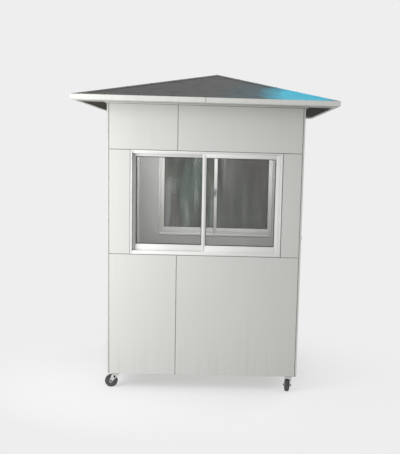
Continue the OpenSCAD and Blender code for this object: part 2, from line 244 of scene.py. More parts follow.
def post(name, centre, radius, height, sides=32, axis="Z", edge=0.001, segments=2):
    """A round bar about its centre, along an axis"""
    pick()
    turn = {"X": (0, pi / 2, 0), "Y": (pi / 2, 0, 0), "Z": (0, 0, 0)}[axis]
    bpy.ops.mesh.primitive_cylinder_add(vertices=sides, radius=radius, depth=height,
                                        location=centre, rotation=turn)
    piece = bpy.context.object
    piece.name = name
    settle(piece)
    round_edges(piece, edge, segments)
    smooth(piece)
    return piece


def together(name, *parts):
    """Joins the parts into one piece"""
    pick(*parts)
    if len(parts) > 1:
        bpy.ops.object.join()
    piece = bpy.context.object
    piece.name = name
    return piece


def twin(piece, name, place):
    """A copy with its own mesh, moved by a matrix"""
    pick(piece)
    bpy.ops.object.duplicate()
    other = bpy.context.object
    other.name = name
    other.matrix_world = place @ other.matrix_world
    settle(other)
    if place.determinant() < 0:
        edit(other)
        bpy.ops.mesh.select_all(action="SELECT")
        bpy.ops.mesh.normals_make_consistent(inside=False)
        leave_edit()
    return other


def cut(piece, tool):
    """Cuts the tool's shape out of the piece"""
    pick(piece)
    trim = piece.modifiers.new("cut", "BOOLEAN")
    trim.operation = "DIFFERENCE"
    trim.solver = "EXACT"
    trim.object = tool
    bpy.ops.object.modifier_apply(modifier=trim.name)
    throw_away(tool)
    smooth(piece)


def move(piece, place):
    piece.matrix_world = place @ piece.matrix_world
    settle(piece)


def place_of(side):
    """From a wall's own axes to the booth's: x along the wall, y into it, 0 on the cladding"""
    return Matrix.Rotation(radians(side), 4, "Z") @ Matrix.Translation((0, -WALL_OUT[side], 0))


def on_wall(node, side):
    """A CAD node's low and high corner in the axes of one wall"""
    back = place_of(side).inverted()
    ends = [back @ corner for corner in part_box(node)]
    return (Vector(min(pair) for pair in zip(*ends)), Vector(max(pair) for pair in zip(*ends)))


def panes_on_wall(node, side, parted_at):
    """The outer and the inner pane of a node that holds both"""
    back = place_of(side).inverted()
    points = [back @ v.co for v in frame["nodes"][node].data.vertices]
    panes = []
    for own in ([p for p in points if p.y < parted_at], [p for p in points if p.y > parted_at]):
        panes.append((Vector(min(p[i] for p in own) for i in range(3)),
                      Vector(max(p[i] for p in own) for i in range(3))))
    return panes


def hand_over(piece, body, material, slot, *nodes):
    """Gives a finished piece its material and its body, and hides the nodes that it stands for"""
    piece.data.materials.clear()
    piece.data.materials.append(finishes[material])
    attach(piece, body)
    if nodes:
        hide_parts(*nodes)


def fit_on_wall(piece, side, material, slot, *nodes):
    """Puts a piece made in a wall's own axes on that wall, and hands it over"""
    move(piece, place_of(side))
    hand_over(piece, "booth", material, slot, *nodes)


# ---- finishes ----

finishes = {}


class Finish:
    """A material made of nodes, with patterns that follow the object"""

    def __init__(self, name):
        self.material = bpy.data.materials.new(name)
        self.material.use_nodes = True
        self.tree = self.material.node_tree
        self.shader = next(n for n in self.tree.nodes if n.type == "BSDF_PRINCIPLED")
        self.place = self.add("ShaderNodeTexCoord").outputs["Object"]
        finishes[name] = self.material

    def add(self, kind, inputs=None, **settings):
        node = self.tree.nodes.new(kind)
        for key, value in settings.items():
            setattr(node, key, value)
        for key, value in (inputs or {}).items():
            self.put(node.inputs[key], value)
        return node

    def put(self, socket, value):
        if isinstance(value, bpy.types.NodeSocket):
            self.tree.links.new(value, socket)
        else:
            socket.default_value = value

    def set(self, **values):
        for key, value in values.items():
            self.put(self.shader.inputs[key.replace("_", " ")], value)
        return self

    def stretched(self, scale):
        return self.add("ShaderNodeMapping", {"Vector": self.place, "Scale": scale}).outputs[0]

    def noise(self, scale, detail=3.0, roughness=0.55, place=None):
        node = self.add("ShaderNodeTexNoise", {"Vector": place or self.place, "Scale": scale,
                                               "Detail": detail, "Roughness": roughness})
        return node.outputs["Fac"]

    def band(self, value, low, high, start=0.0, end=1.0):
        """Maps a value from low..high to start..end, and no further"""
        node = self.add("ShaderNodeMapRange", {"Value": value, "From Min": low, "From Max": high,
                                               "To Min": start, "To Max": end})
        return node.outputs["Result"]

    def sum(self, operation, first, second):
        return self.add("ShaderNodeMath", {0: first, 1: second}, operation=operation).outputs[0]

    def mix(self, share, first, second, blend="MIX"):
        node = self.add("ShaderNodeMix", data_type="RGBA", blend_type=blend)
        for socket, value in ((0, share), (6, first), (7, second)):
            if not isinstance(value, bpy.types.NodeSocket) and socket > 0:
                value = (*value, 1.0)
            self.put(node.inputs[socket], value)
        return node.outputs[2]

    def uneven(self, tone, low, high, scale, detail=3.0):
        """A tone that drifts slowly between a darker and a lighter shade of itself"""
        return self.mix(self.band(self.noise(scale, detail), 0.3, 0.7), shade(tone, low),
                        shade(tone, high))

    def sheen(self, scale, detail, low, high):
        """A roughness that varies between two values"""
        return self.band(self.noise(scale, detail), 0.3, 0.7, low, high)

    def axes(self):
        return self.add("ShaderNodeSeparateXYZ", {0: self.place}).outputs

    def relief(self, *layers):
        """Bumps laid over each other, each a height, a strength and a depth in metres"""
        normal = None
        for height, strength, depth in layers:
            inputs = {"Height": height, "Strength": strength, "Distance": depth}
            if normal:
                inputs["Normal"] = normal
            normal = self.add("ShaderNodeBump", inputs).outputs["Normal"]
        return self.set(Normal=normal)


def shade(tone, factor):
    return tuple(min(1.0, channel * factor) for channel in tone)


def painted_sheet(name, tone, roughness, gloss=0.5, grime=0.10, from_z=0.12, to_z=0.45):
    """Satin coated sheet: flake, slow unevenness and a dusty lower edge"""
    f = Finish(name)
    base = f.uneven(tone, 0.97, 1.03, 1.6, 2.0)
    flake = f.band(f.noise(1400.0, 1.0), 0.35, 0.65)
    base = f.mix(flake, base, shade(tone, 1.08))
    drips = f.band(f.noise(5.0, 5.0, place=f.stretched((7.0, 7.0, 0.35))), 0.48, 0.75)
    low = f.band(f.axes()[2], from_z, to_z, 1.0, 0.25)
    dusty = f.sum("MULTIPLY", f.sum("MULTIPLY", drips, low), grime * 2.5)
    base = f.mix(dusty, base, shade((tone[0] * 0.9, tone[1] * 0.84, tone[2] * 0.74), 0.8))
    f.set(Base_Color=base, Roughness=f.sheen(9.0, 4.0, roughness - 0.05, roughness + 0.07),
          Specular_IOR_Level=gloss)
    return f.relief((f.noise(2.2, 1.0), 0.35, 0.0035), (f.noise(850.0, 2.0), 0.10, 0.00006))


def powder_coat(name, tone, roughness=0.38):
    """Powder coated aluminium with a fine orange peel"""
    f = Finish(name)
    base = f.uneven(tone, 0.96, 1.02, 3.0)
    smudge = f.band(f.noise(14.0, 6.0, 0.65), 0.62, 0.80, 0.0, 0.35)
    base = f.mix(smudge, base, shade((tone[0], tone[1] * 0.97, tone[2] * 0.91), 0.78))
    f.set(Base_Color=base, Roughness=f.sheen(30.0, 3.0, roughness - 0.06, roughness + 0.08))
    return f.relief((f.noise(950.0, 2.0), 0.18, 0.00008))


def rubber(name, tone, roughness=0.62, dust=0.35):
    """Rubber with a dusty bloom and a fine moulded grain"""
    f = Finish(name)
    bloom = f.band(f.noise(38.0, 5.0, 0.6), 0.42, 0.72, 0.0, dust)
    base = f.mix(bloom, tone, (0.20, 0.19, 0.175))
    f.set(Base_Color=base, Roughness=f.sheen(70.0, 3.0, roughness - 0.08, roughness + 0.12))
    return f.relief((f.noise(700.0, 3.0), 0.30, 0.0002))


def plated_steel(name, tone):
    """Zinc plate with its spangle, and light brown stains"""
    f = Finish(name)
    grain = f.add("ShaderNodeTexVoronoi", {"Vector": f.place, "Scale": 160.0}).outputs["Color"]
    level = f.band(f.add("ShaderNodeSeparateColor", {0: grain}).outputs[0], 0.0, 1.0)
    base = f.mix(level, shade(tone, 0.80), shade(tone, 1.08))
    stain = f.band(f.noise(46.0, 6.0, 0.7), 0.58, 0.74, 0.0, 0.55)
    base = f.mix(stain, base, (0.23, 0.15, 0.09))
    rough = f.sum("ADD", f.band(level, 0.0, 1.0, 0.24, 0.40), f.sum("MULTIPLY", stain, 0.5))
    f.set(Base_Color=base, Roughness=rough, Metallic=0.9)
    return f.relief((f.noise(260.0, 4.0), 0.20, 0.00025))


def satin_steel(name, tone):
    """Brushed stainless steel"""
    f = Finish(name)
    brushed = f.noise(60.0, 5.0, 0.7, f.stretched((1.0, 1.0, 42.0)))
    base = f.mix(brushed, shade(tone, 0.86), shade(tone, 1.06))
    f.set(Base_Color=base, Roughness=f.band(brushed, 0.3, 0.7, 0.22, 0.38), Metallic=1.0)
    return f.relief((brushed, 0.12, 0.0001))


def lining_sheet(name, tone):
    """Painted lining with shallow lines a hand's width apart"""
    f = Finish(name)
    base = f.uneven(tone, 0.93, 1.03, 2.4, 4.0)
    scuff = f.band(f.noise(22.0, 6.0, 0.7), 0.66, 0.80, 0.0, 0.4)
    base = f.mix(scuff, base, shade(tone, 0.62))
    f.set(Base_Color=base, Roughness=f.sheen(16.0, 3.0, 0.40, 0.55))
    x, y, _ = f.axes()
    along = f.sum("ADD", x, y)
    ripple = f.sum("ABSOLUTE", f.sum("SINE", f.sum("MULTIPLY", along, 30.0), 0.0), 0.0)
    return f.relief((f.band(ripple, 0.0, 0.06), 0.5, 0.0008), (f.noise(600.0), 0.1, 0.0001))


def frame_paint(name):
    """Dark grey primer on steel, with chips of rust"""
    f = Finish(name)
    chips = f.band(f.noise(34.0, 7.0, 0.72), 0.60, 0.66)
    slow = f.band(f.noise(6.0, 3.0), 0.3, 0.7)
    base = f.mix(slow, (0.055, 0.058, 0.062), (0.085, 0.088, 0.092))
    base = f.mix(chips, base, (0.19, 0.075, 0.03))
    f.set(Base_Color=base, Roughness=f.band(chips, 0.0, 1.0, 0.45, 0.85))
    return f.relief((chips, 0.4, 0.0004), (f.noise(420.0, 3.0), 0.25, 0.0002))


def floor_planks(name, tone):
    """Plank patterned floor covering with its grain"""
    f = Finish(name)
    planks = f.add("ShaderNodeTexBrick", {
        "Vector": f.place, "Scale": 1.0, "Brick Width": 0.9, "Row Height": 0.15,
        "Mortar Size": 0.0022, "Color1": (*shade(tone, 0.85), 1), "Color2": (*shade(tone, 1.15), 1),
        "Mortar": (*shade(tone, 0.30), 1)}, offset=0.37)
    grain = f.noise(9.0, 8.0, 0.65, f.stretched((1.0, 16.0, 1.0)))
    base = f.mix(f.band(grain, 0.35, 0.7, 0.0, 0.55), planks.outputs["Color"], shade(tone, 0.45))
    f.set(Base_Color=base, Roughness=f.band(grain, 0.3, 0.7, 0.42, 0.60))
    return f.relief((planks.outputs["Fac"], -0.6, 0.0006), (grain, 0.15, 0.0003))


# The middle of the blue sky reflection painted on the roof, near its front right corner
REFLECTION_CENTRE = (0.74, -0.80, 2.30)


def roof_paint(name, tone, painted_reflection):
    """Dark satin sheet with a painted blue sky reflection round the roof's front right corner,
    fading to a painted pale grey along its right end
    """
    f = Finish(name)
    base = f.uneven(tone, 0.85, 1.15, 2.0)
    x = f.axes()[0]
    # Painted reflection: a dim blue halo, a bright blue patch at the corner and pale grey at the
    # right end
    away = f.add("ShaderNodeVectorMath", {0: f.place, 1: REFLECTION_CENTRE}, operation="DISTANCE")
    wander = f.sum("MULTIPLY", f.sum("SUBTRACT", f.noise(4.0, 3.0), 0.5), 0.20)
    wander = f.sum("ADD", away.outputs["Value"], wander)
    base = f.mix(f.band(wander, 0.32, 0.72, 0.40, 0.0), base, shade(painted_reflection, 0.28))
    base = f.mix(f.band(wander, 0.18, 0.38, 1.0, 0.0), base, painted_reflection)
    base = f.mix(f.band(x, 0.88, 0.97, 0.0, 0.8), base, (0.14, 0.17, 0.18))
    dust = f.band(f.noise(11.0, 6.0, 0.65, f.stretched((1.0, 1.0, 4.0))), 0.5, 0.75, 0.0, 0.22)
    base = f.mix(dust, base, (0.16, 0.16, 0.15))
    f.set(Base_Color=base, Roughness=f.band(dust, 0.0, 0.22, 0.40, 0.58), Specular_IOR_Level=0.2)
    return f.relief((f.noise(1.8, 1.0), 0.3, 0.004), (f.noise(700.0, 2.0), 0.12, 0.0001))


def tinted_glass(name, tone, cover, film=0.30):
    """Tinted float glass with a thin film of dust"""
    f = Finish(name)
    wiped = f.noise(3.2, 5.0, 0.6, f.stretched((1.0, 1.0, 0.45)))
    base = f.mix(f.band(wiped, 0.45, 0.75, 0.0, film), tone, (0.30, 0.33, 0.34))
    f.set(Base_Color=base, Roughness=f.band(wiped, 0.3, 0.8, 0.02, 0.09), Alpha=cover)
    f.material.blend_method = "BLEND"
    return f.relief((f.noise(1.4, 1.0), 0.25, 0.002))


def painted_shade_glass(name):
    """Glass painted dark for the shade seen through it, with upright lighter and darker streaks,
    and darker still towards +x
    """
    f = Finish(name)
    streak = f.noise(5.0, 4.0, 0.6, f.stretched((2.6, 2.6, 0.30)))
    cast = f.noise(2.6, 3.0, 0.5, f.stretched((1.8, 1.8, 0.55)))
    base = f.mix(f.band(cast, 0.42, 0.62), (0.115, 0.095, 0.072), (0.085, 0.115, 0.085))
    base = f.mix(f.band(streak, 0.50, 0.66, 0.0, 0.8), base, (0.30, 0.32, 0.31))
    base = f.mix(f.band(streak, 0.36, 0.48, 0.85, 0.0), base, (0.020, 0.021, 0.019))
    # Painted shade: a darker brown over the glass towards +x
    painted_shade_side = f.band(f.sum("ADD", f.axes()[0], f.sum("MULTIPLY", streak, 0.3)), 0.20, 0.42, 0.0, 0.7)
    base = f.mix(painted_shade_side, base, (0.040, 0.031, 0.023))
    f.set(Base_Color=base, Roughness=f.band(streak, 0.3, 0.8, 0.06, 0.14), Alpha=0.72)
    f.material.blend_method = "BLEND"
    return f.relief((f.noise(1.4, 1.0), 0.25, 0.002))


def sealant(name, tone):
    """Tooled silicone with a little dust in it"""
    f = Finish(name)
    dirt = f.band(f.noise(60.0, 5.0), 0.45, 0.75, 0.0, 0.6)
    f.set(Base_Color=f.mix(dirt, tone, shade(tone, 0.55)),
          Roughness=f.sheen(90.0, 3.0, 0.40, 0.60))
    return f.relief((f.noise(160.0, 2.0), 0.4, 0.0005))


def make_finishes(tones):
    painted_sheet("composite_sheet", tones.cladding, 0.42, 0.4)
    painted_sheet("angle_sheet", shade(tones.cladding, 1.02), 0.36)
    painted_sheet("fascia_sheet", shade(tones.cladding, 1.10), 0.42, 0.4, 0.15, 2.2, 2.27)
    # Lit and shaded copies of one soffit board: painted light under the front and back eaves,
    # painted shade under the side eaves
    painted_sheet("soffit_board", tones.soffit, 0.85, 0.1, 0.2, 2.2, 2.3)
    painted_sheet("side_soffit_painted_shade", tones.side_soffit, 0.85, 0.1, 0.2, 2.2, 2.3)
    powder_coat("white_powder_coat", tones.window)
    powder_coat("trim_white", shade(tones.window, 0.93), 0.45)
    rubber("gasket_rubber", shade(tones.rubber, 0.55), 0.55, 0.2)
    rubber("tyre_rubber", tones.rubber)
    rubber("hub_plastic", (0.075, 0.075, 0.08), 0.45, 0.3)
    rubber("black_plastic", (0.02, 0.02, 0.022), 0.4, 0.15)
    plated_steel("zinc_plate", tones.zinc)
    plated_steel("dark_bolt", shade(tones.zinc, 0.35))
    satin_steel("stainless_steel", (0.60, 0.60, 0.59))
    lining_sheet("lining_sheet", tones.lining)
    frame_paint("frame_primer")
    floor_planks("floor_planks", tones.floor)
    roof_paint("roof_paint", tones.roof, tones.roof_painted_reflection)
    # A lighter copy of the roof paint for the caps and their screws: a painted highlight along the
    # hips and eaves; both copies carry the painted sky reflection
    roof_paint("roof_cap_painted_highlight", shade(tones.roof, 1.45), tones.roof_painted_reflection)
    tinted_glass("clear_glass", tones.glass, 0.22)
    tinted_glass("bluish_glass", (0.12, 0.16, 0.18), 0.45)
    # The back window and door panes: glass painted dark for the shade seen through them
    painted_shade_glass("painted_shade_glass")
    sealant("joint_sealant", (0.17, 0.17, 0.165))
    sealant("dark_sealant", (0.03, 0.03, 0.03))
    sealant("weld_bead", (0.10, 0.10, 0.10))


# The CAD nodes that stay, with the finish of each
NODE_FINISHES = (
    ("frame_primer", ("base_cross_beams", "base_side_beams")),
    ("floor_planks", ("floor_board",)),
    ("lining_sheet", ("front_wall", "back_wall", "left_wall", "right_wall_front",
                      "right_wall_rear", "right_wall_head", "ceiling")),
    ("angle_sheet", ("corner_angles",)),
    ("composite_sheet", ("front_lower_left_panel", "front_lower_right_panel",
                         "front_left_pier_panel", "front_right_pier_panel",
                         "front_upper_left_panel", "front_upper_right_panel",
                         "left_cladding", "right_cladding", "back_cladding")),
    ("white_powder_coat", ("door_frame",)),
    ("clear_glass", ("front_window_glass",)),
    ("bluish_glass", ("left_window_glass",)),
    # The back window and door panes take glass painted dark for the shade seen through them
    ("painted_shade_glass", ("back_window_glass", "door_glass")),
    # The soffits take painted light at the front and back and painted shade at the sides
    ("soffit_board", ("front_and_back_soffit",)),
    ("side_soffit_painted_shade", ("side_soffits",)),
    ("fascia_sheet", ("front_fascia", "back_fascia", "side_fascias")),
)


class BOOTH_OT_finishes(bpy.types.Operator):
    """Makes the finishes and gives the CAD's own parts theirs"""
    bl_idname = "booth.finishes"
    bl_label = "Finishes"

    def execute(self, context):
        make_finishes(context.scene.booth_colours)
        for finish, nodes in NODE_FINISHES:
            for node in nodes:
                slots = frame["nodes"][node].data.materials
                slots.clear()
                slots.append(finishes[finish])
        return {"FINISHED"}


# ---- sealant in the cladding's joints ----

def wall_lines():
    """Where every wall's joints lie: across a wall, and up it"""
    left, low_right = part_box("front_lower_left_panel"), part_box("front_lower_right_panel")
    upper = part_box("front_upper_left_panel")
    joint = low_right[0].x - left[1].x
    return {
        "joint": joint,
        "end": -left[0].x,
        "mid": (left[1].x, low_right[0].x),
        "low": (left[1].z, left[1].z + joint),
        "high": (upper[0].z - joint, upper[0].z),
        "base": left[0].z,
        "top": upper[1].z,
        "back": left[1].y - left[0].y,
    }


def joints_of(side, opening):
    """The joints of one wall as (x low, x high, z low, z high)"""
    at = wall_lines()
    end, joint = at["end"], at["joint"]
    (x0, _, _), (x1, _, top) = opening
    found = [(-end - joint, -end, at["base"], at["top"]),
             (end, end + joint, at["base"], at["top"])]
    if side == RIGHT:
        for inner in (x0 - joint, x1):
            found.append((inner, inner + joint, at["base"], at["top"]))
        found.append((x0, x1, top, top + joint))
        for low, high in (at["low"], at["high"]):
            found += [(-end, x0 - joint, low, high), (x1 + joint, end, low, high)]
        return found
    found += [(*at["mid"], at["base"], at["low"][0]), (*at["mid"], at["high"][1], at["top"])]
    for inner in (x0 - joint, x1):
        found.append((inner, inner + joint, at["low"][1], at["high"][0]))
    found += [(-end, end, *at["low"]), (-end, end, *at["high"])]
    return found


class BOOTH_OT_sealant(bpy.types.Operator):
    """Runs a hollow bead of sealant along every joint of the cladding"""
    bl_idname = "booth.sealant"
    bl_label = "Sealant"

    def execute(self, context):
        depth = context.scene.booth_sizes.bead_depth
        at = wall_lines()
        openings = {FRONT: "front_window_frame", RIGHT: "door_frame",
                    BACK: "back_window_frame", LEFT: "left_window_frame"}
        for side, node in openings.items():
            lines = joints_of(side, on_wall(node, side))
            boxes = [((x0, depth, z0), (x1, at["back"], z1)) for x0, x1, z0, z1 in lines]
            piece = bars(f"{node.split('_')[0]}_wall_sealant", boxes, edge=0)
            edit(piece)
            choose(piece, lambda face: face.normal.y < -SQUARE_ON)
            bpy.ops.mesh.inset(thickness=at["joint"] * 0.28, use_individual=True)
            bpy.ops.transform.translate(value=(0, depth * 0.5, 0))
            leave_edit()
            smooth(piece, 50)
            fit_on_wall(piece, side, "joint_sealant", "cladding")
        return {"FINISHED"}


class BOOTH_OT_wall_top_trim(bpy.types.Operator):
    """Closes the gap between the cladding and the soffit with a strip and its sealant"""
    bl_idname = "booth.wall_top_trim"
    bl_label = "Wall top trim"

    def execute(self, context):
        at = wall_lines()
        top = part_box("front_wall")[1].z
        seal = at["top"] + at["joint"] * 0.7
        for name, side in (("front", FRONT), ("right", RIGHT), ("back", BACK), ("left", LEFT)):
            half = WALL_OUT[(side + 90) % 360]
            strip = bars(f"{name}_wall_top_trim", [((-half + 0.0005, 0, seal),
                                                    (half - 0.0005, at["back"], top))], 0.0008)
            fit_on_wall(strip, side, "angle_sheet", "cladding")
            bead = bars(f"{name}_wall_top_sealant", [((-half + 0.004, 0.0015, at["top"]),
                                                      (half - 0.004, at["back"], seal))], 0.0006)
            fit_on_wall(bead, side, "joint_sealant", "cladding")
        return {"FINISHED"}


# ---- sliding windows ----

def sashes_of(name, side):
    """The outer and the inner sash of a window, each with its pane"""
    outer, inner = (on_wall(f"{name}_{label}_sash", side) for label in ("outer", "inner"))
    panes = panes_on_wall(f"{name}_glass", side, (outer[1].y + inner[0].y) / 2)
    return (outer, panes[0]), (inner, panes[1])


def framed(low, high, left, right, bottom, top, gap=FIT):
    """Four bars round an opening, the uprights from end to end and the rails between them"""
    (x0, y0, z0), (x1, y1, z1) = low, high
    return [((x0, y0, z0), (x0 + left, y1, z1)), ((x1 - right, y0, z0), (x1, y1, z1)),
            ((x0 + left + gap, y0, z0), (x1 - right - gap, y1, z0 + bottom)),
            ((x0 + left + gap, y0, z1 - top), (x1 - right - gap, y1, z1))]


def sash_bars(sash, pane, step, sunk):
    """A sash's full bars, and the thinner step on their glass side"""
    (x0, y0, z0), (x1, y1, z1) = sash
    (gx0, _, gz0), (gx1, _, gz1) = pane
    full = framed(sash[0], sash[1], gx0 - x0 - step, x1 - gx1 - step,
                  gz0 - z0 - step, z1 - gz1 - step)
    lips = framed((gx0 - step, y0 + sunk, gz0 - step), (gx1 + step, y1 - sunk, gz1 + step),
                  step, step, step, step, 0)
    return full, lips


class BOOTH_OT_window_frames(bpy.types.Operator):
    """Builds each window's outer frame with its sill, head and tracks"""
    bl_idname = "booth.window_frames"
    bl_label = "Window frames"

    def execute(self, context):
        edge = context.scene.booth_sizes.edge_round
        for name, side in WINDOWS:
            low, high = on_wall(f"{name}_frame", side)
            (outer, _), (inner, _) = sashes_of(name, side)
            jamb = inner[0].x - low.x - FIT
            sill = inner[0].z - low.z - FIT
            boxes = framed(low, high, jamb, jamb, sill, high.z - inner[1].z - FIT)
            frame_bars = bars(f"{name}_frame_bars", boxes, edge)
            tracks = []
            for (a, b), reach in ((outer, (low.x + jamb, outer[0].x - 0.001)),
                                  (inner, (inner[1].x + 0.001, high.x - jamb))):
                middle = (a.y + b.y) / 2
                tracks.append(((reach[0], middle - 0.0015, low.z + sill - 0.002),
                               (reach[1], middle + 0.0015, low.z + sill + 0.007)))
                tracks.append(((reach[0], a.y + 0.001, high.z - jamb - 0.012),
                               (reach[1], a.y + 0.003, high.z - jamb + 0.002)))
            lip_y = outer[0].y - 0.002
            tracks.append(((low.x + jamb, lip_y - 0.0015, low.z + sill - 0.002),
                           (high.x - jamb, lip_y, low.z + sill + 0.009)))
            ribs = bars(f"{name}_tracks", tracks, 0.0005)
            piece = together(f"{name}_outer_frame", ribs, frame_bars)
            fit_on_wall(piece, side, "white_powder_coat", "window_frame", f"{name}_frame")
        return {"FINISHED"}


class BOOTH_OT_weep_slots(bpy.types.Operator):
    """Sets the small drain covers into the face of each sill"""
    bl_idname = "booth.weep_slots"
    bl_label = "Weep slots"

    def execute(self, context):
        for name, side in WINDOWS:
            low, high = on_wall(f"{name}_frame", side)
            sash = on_wall(f"{name}_outer_sash", side)
            middle = low.z + (sash[0].z - low.z) * 0.5
            width = high.x - low.x
            boxes = []
            for share in (0.16, 0.5, 0.84):
                x = low.x + width * share
                boxes.append(((x - 0.016, low.y + 0.0001, middle - 0.003),
                              (x + 0.016, low.y + 0.003, middle + 0.003)))
            piece = bars(f"{name}_weep_slots", boxes, 0.0)
            edit(piece)
            choose(piece, lambda face: face.normal.y < -SQUARE_ON)
            bpy.ops.mesh.inset(thickness=0.0012, use_individual=True)
            bpy.ops.mesh.extrude_region_move(TRANSFORM_OT_translate={"value": (0, 0.002, 0)})
            leave_edit()
            round_edges(piece, 0.0003, 1)
            fit_on_wall(piece, side, "black_plastic", "window_frame")
        return {"FINISHED"}


class BOOTH_OT_sashes(bpy.types.Operator):
    """Builds the two sashes of each window, stepped round the glass"""
    bl_idname = "booth.sashes"
    bl_label = "Sashes"

    def execute(self, context):
        sizes = context.scene.booth_sizes
        for name, side in WINDOWS:
            for label, (sash, pane) in zip(("outer", "inner"), sashes_of(name, side)):
                full, lips = sash_bars(sash, pane, sizes.sash_step, 0.003)
                heavy = bars(f"{name}_{label}_bars", full, sizes.edge_round)
                light = bars(f"{name}_{label}_lips", lips, 0.0006)
                piece = together(f"{name}_{label}_sash_bars", light, heavy)
                fit_on_wall(piece, side, "white_powder_coat", "window_frame",
                            f"{name}_{label}_sash")
        return {"FINISHED"}


def gasket_rings(sash, pane, width):
    """Rubber on both faces of a pane, out to just behind the sash's step"""
    (x0, y0, z0), (x1, y1, z1) = pane
    rings = []
    for ya, yb in ((sash[0].y + GASKET_BACK, y0), (y1, sash[1].y - GASKET_BACK)):
        rings += framed((x0, ya, z0), (x1, yb, z1), width, width, width, width, 0)
    return rings


class BOOTH_OT_gaskets(bpy.types.Operator):
    """Lays the rubber gaskets round every pane"""
    bl_idname = "booth.gaskets"
    bl_label = "Gaskets"

    def execute(self, context):
        width = context.scene.booth_sizes.gasket_width
        for name, side in WINDOWS:
            boxes = []
            for sash, pane in sashes_of(name, side):
                boxes += gasket_rings(sash, pane, width)
            fit_on_wall(bars(f"{name}_gaskets", boxes, 0.0008), side, "gasket_rubber",
                        "window_frame")
        leaf, pane, _ = door_boxes()
        piece = bars("door_glass_gaskets", gasket_rings(leaf, pane, width * 1.5), 0.0008)
        fit_on_wall(piece, RIGHT, "gasket_rubber", "window_frame")
        return {"FINISHED"}


class BOOTH_OT_latches(bpy.types.Operator):
    """Fits a crescent latch, with its plate, cam and lever, on the inside where the sashes of each
    window meet
    """
    bl_idname = "booth.latches"
    bl_label = "Latches"

    def execute(self, context):
        for name, side in WINDOWS:
            inner = on_wall(f"{name}_inner_sash", side)
            x = inner[1].x - 0.014
            y = inner[1].y
            z = inner[0].z + (inner[1].z - inner[0].z) * 0.52
            plate = bars("latch_plate", [((x - 0.009, y, z - 0.032),
                                          (x + 0.009, y + 0.004, z + 0.032))], 0.0015, 3)
            cam = post("latch_cam", (x, y + 0.008, z), 0.012, 0.008, 28, "Y", 0.0015)
            edit(cam)
            choose(cam, lambda face: face.normal.x > 0.5 and abs(face.normal.y) < 0.5)
            bpy.ops.mesh.extrude_region_move(TRANSFORM_OT_translate={"value": (0.010, 0, 0)})
            leave_edit()
            lever = bars("latch_lever", [((x - 0.004, y + 0.008, z - 0.030),
                                          (x + 0.004, y + 0.014, z + 0.004))], 0.0015, 3)
            piece = together(f"{name}_latch", plate, cam, lever)
            fit_on_wall(piece, side, "stainless_steel", "door_fittings")
        return {"FINISHED"}


# ---- door ----

def door_boxes():
    """The door's leaf, pane and frame"""
    return [on_wall(f"door_{part}", RIGHT) for part in ("leaf", "glass", "frame")]


def hoop(low, high, width):
    """Two uprights, and the rail between their tops"""
    (x0, y0, z0), (x1, y1, z1) = low, high
    return [((x0, y0, z0), (x0 + width, y1, z1)), ((x1 - width, y0, z0), (x1, y1, z1)),
            ((x0 + width, y0, z1 - width), (x1 - width, y1, z1))]


class BOOTH_OT_door_leaf(bpy.types.Operator):
    """Builds the door leaf: stiles, rails and a lower panel of grooved boards"""
    bl_idname = "booth.door_leaf"
    bl_label = "Door leaf"

    def execute(self, context):
        sizes = context.scene.booth_sizes
        (low, high), (pane_low, pane_high), _ = door_boxes()
        (x0, y0, z0), (x1, y1, z1) = low, high
        step = sizes.sash_step
        stile = pane_low.x - x0
        kick, mid = 0.15, 0.10
        full = [((x0, y0, z0), (x0 + stile - step, y1, z1)),
                ((x1 - stile + step, y0, z0), (x1, y1, z1))]
        inner = (x0 + stile - step + 0.0003, x1 - stile + step - 0.0003)
        for a, b in ((z0, z0 + kick), (pane_low.z - mid, pane_low.z - step),
                     (pane_high.z + step, z1)):
            full.append(((inner[0], y0, a), (inner[1], y1, b)))
        frame_bars = bars("door_bars", full, sizes.edge_round * 1.5)
        lips = framed((pane_low.x - step, y0 + 0.004, pane_low.z - step),
                      (pane_high.x + step, y1 - 0.004, pane_high.z + step),
                      step, step, step, step, 0)
        board_low, board_high = z0 + kick - 0.002, pane_low.z - mid + 0.002
        count = 6
        width = (inner[1] - inner[0]) / count
        boards = [((inner[0] + n * width, y0 + 0.008, board_low),
                   (inner[0] + (n + 1) * width, y1 - 0.008, board_high)) for n in range(count)]
        light = bars("door_lips", lips, 0.0008)
        infill = bars("door_boards", boards, 0.003, 2)
        piece = together("door_leaf_bars", light, infill, frame_bars)
        fit_on_wall(piece, RIGHT, "white_powder_coat", "door_paint", "door_leaf")
        return {"FINISHED"}


class BOOTH_OT_door_stop(bpy.types.Operator):
    """Adds the stop that the leaf closes against, its seal and the threshold"""
    bl_idname = "booth.door_stop"
    bl_label = "Door stop and threshold"

    def execute(self, context):
        (_, leaf_high), _, (low, high) = door_boxes()
        x0, x1 = low.x + DOOR_FRAME_BAR, high.x - DOOR_FRAME_BAR
        top = high.z - DOOR_FRAME_BAR
        y0, y1 = leaf_high.y + 0.002, high.y - 0.001
        stop = bars("door_stop", hoop((x0, y0, low.z), (x1, y1, top), STOP_WIDTH), 0.001)
        fit_on_wall(stop, RIGHT, "white_powder_coat", "door_paint")
        seal = bars("door_seal", hoop((x0 + 0.003, leaf_high.y, low.z + 0.004),
                                      (x1 - 0.003, y0 + 0.001, top - 0.003), SEAL_WIDTH), 0.0006)
        fit_on_wall(seal, RIGHT, "gasket_rubber", "door_paint")
        ridges = [((x0, 0.0, low.z - 0.001), (x1, high.y, low.z + 0.0012))]
        ridges += [((x0, 0.006 + n * 0.008, low.z), (x1, 0.010 + n * 0.008, low.z + 0.0026))
                   for n in range(6)]
        sill = bars("door_threshold", ridges, 0.0004, 1)
        fit_on_wall(sill, RIGHT, "stainless_steel", "door_fittings")
        return {"FINISHED"}


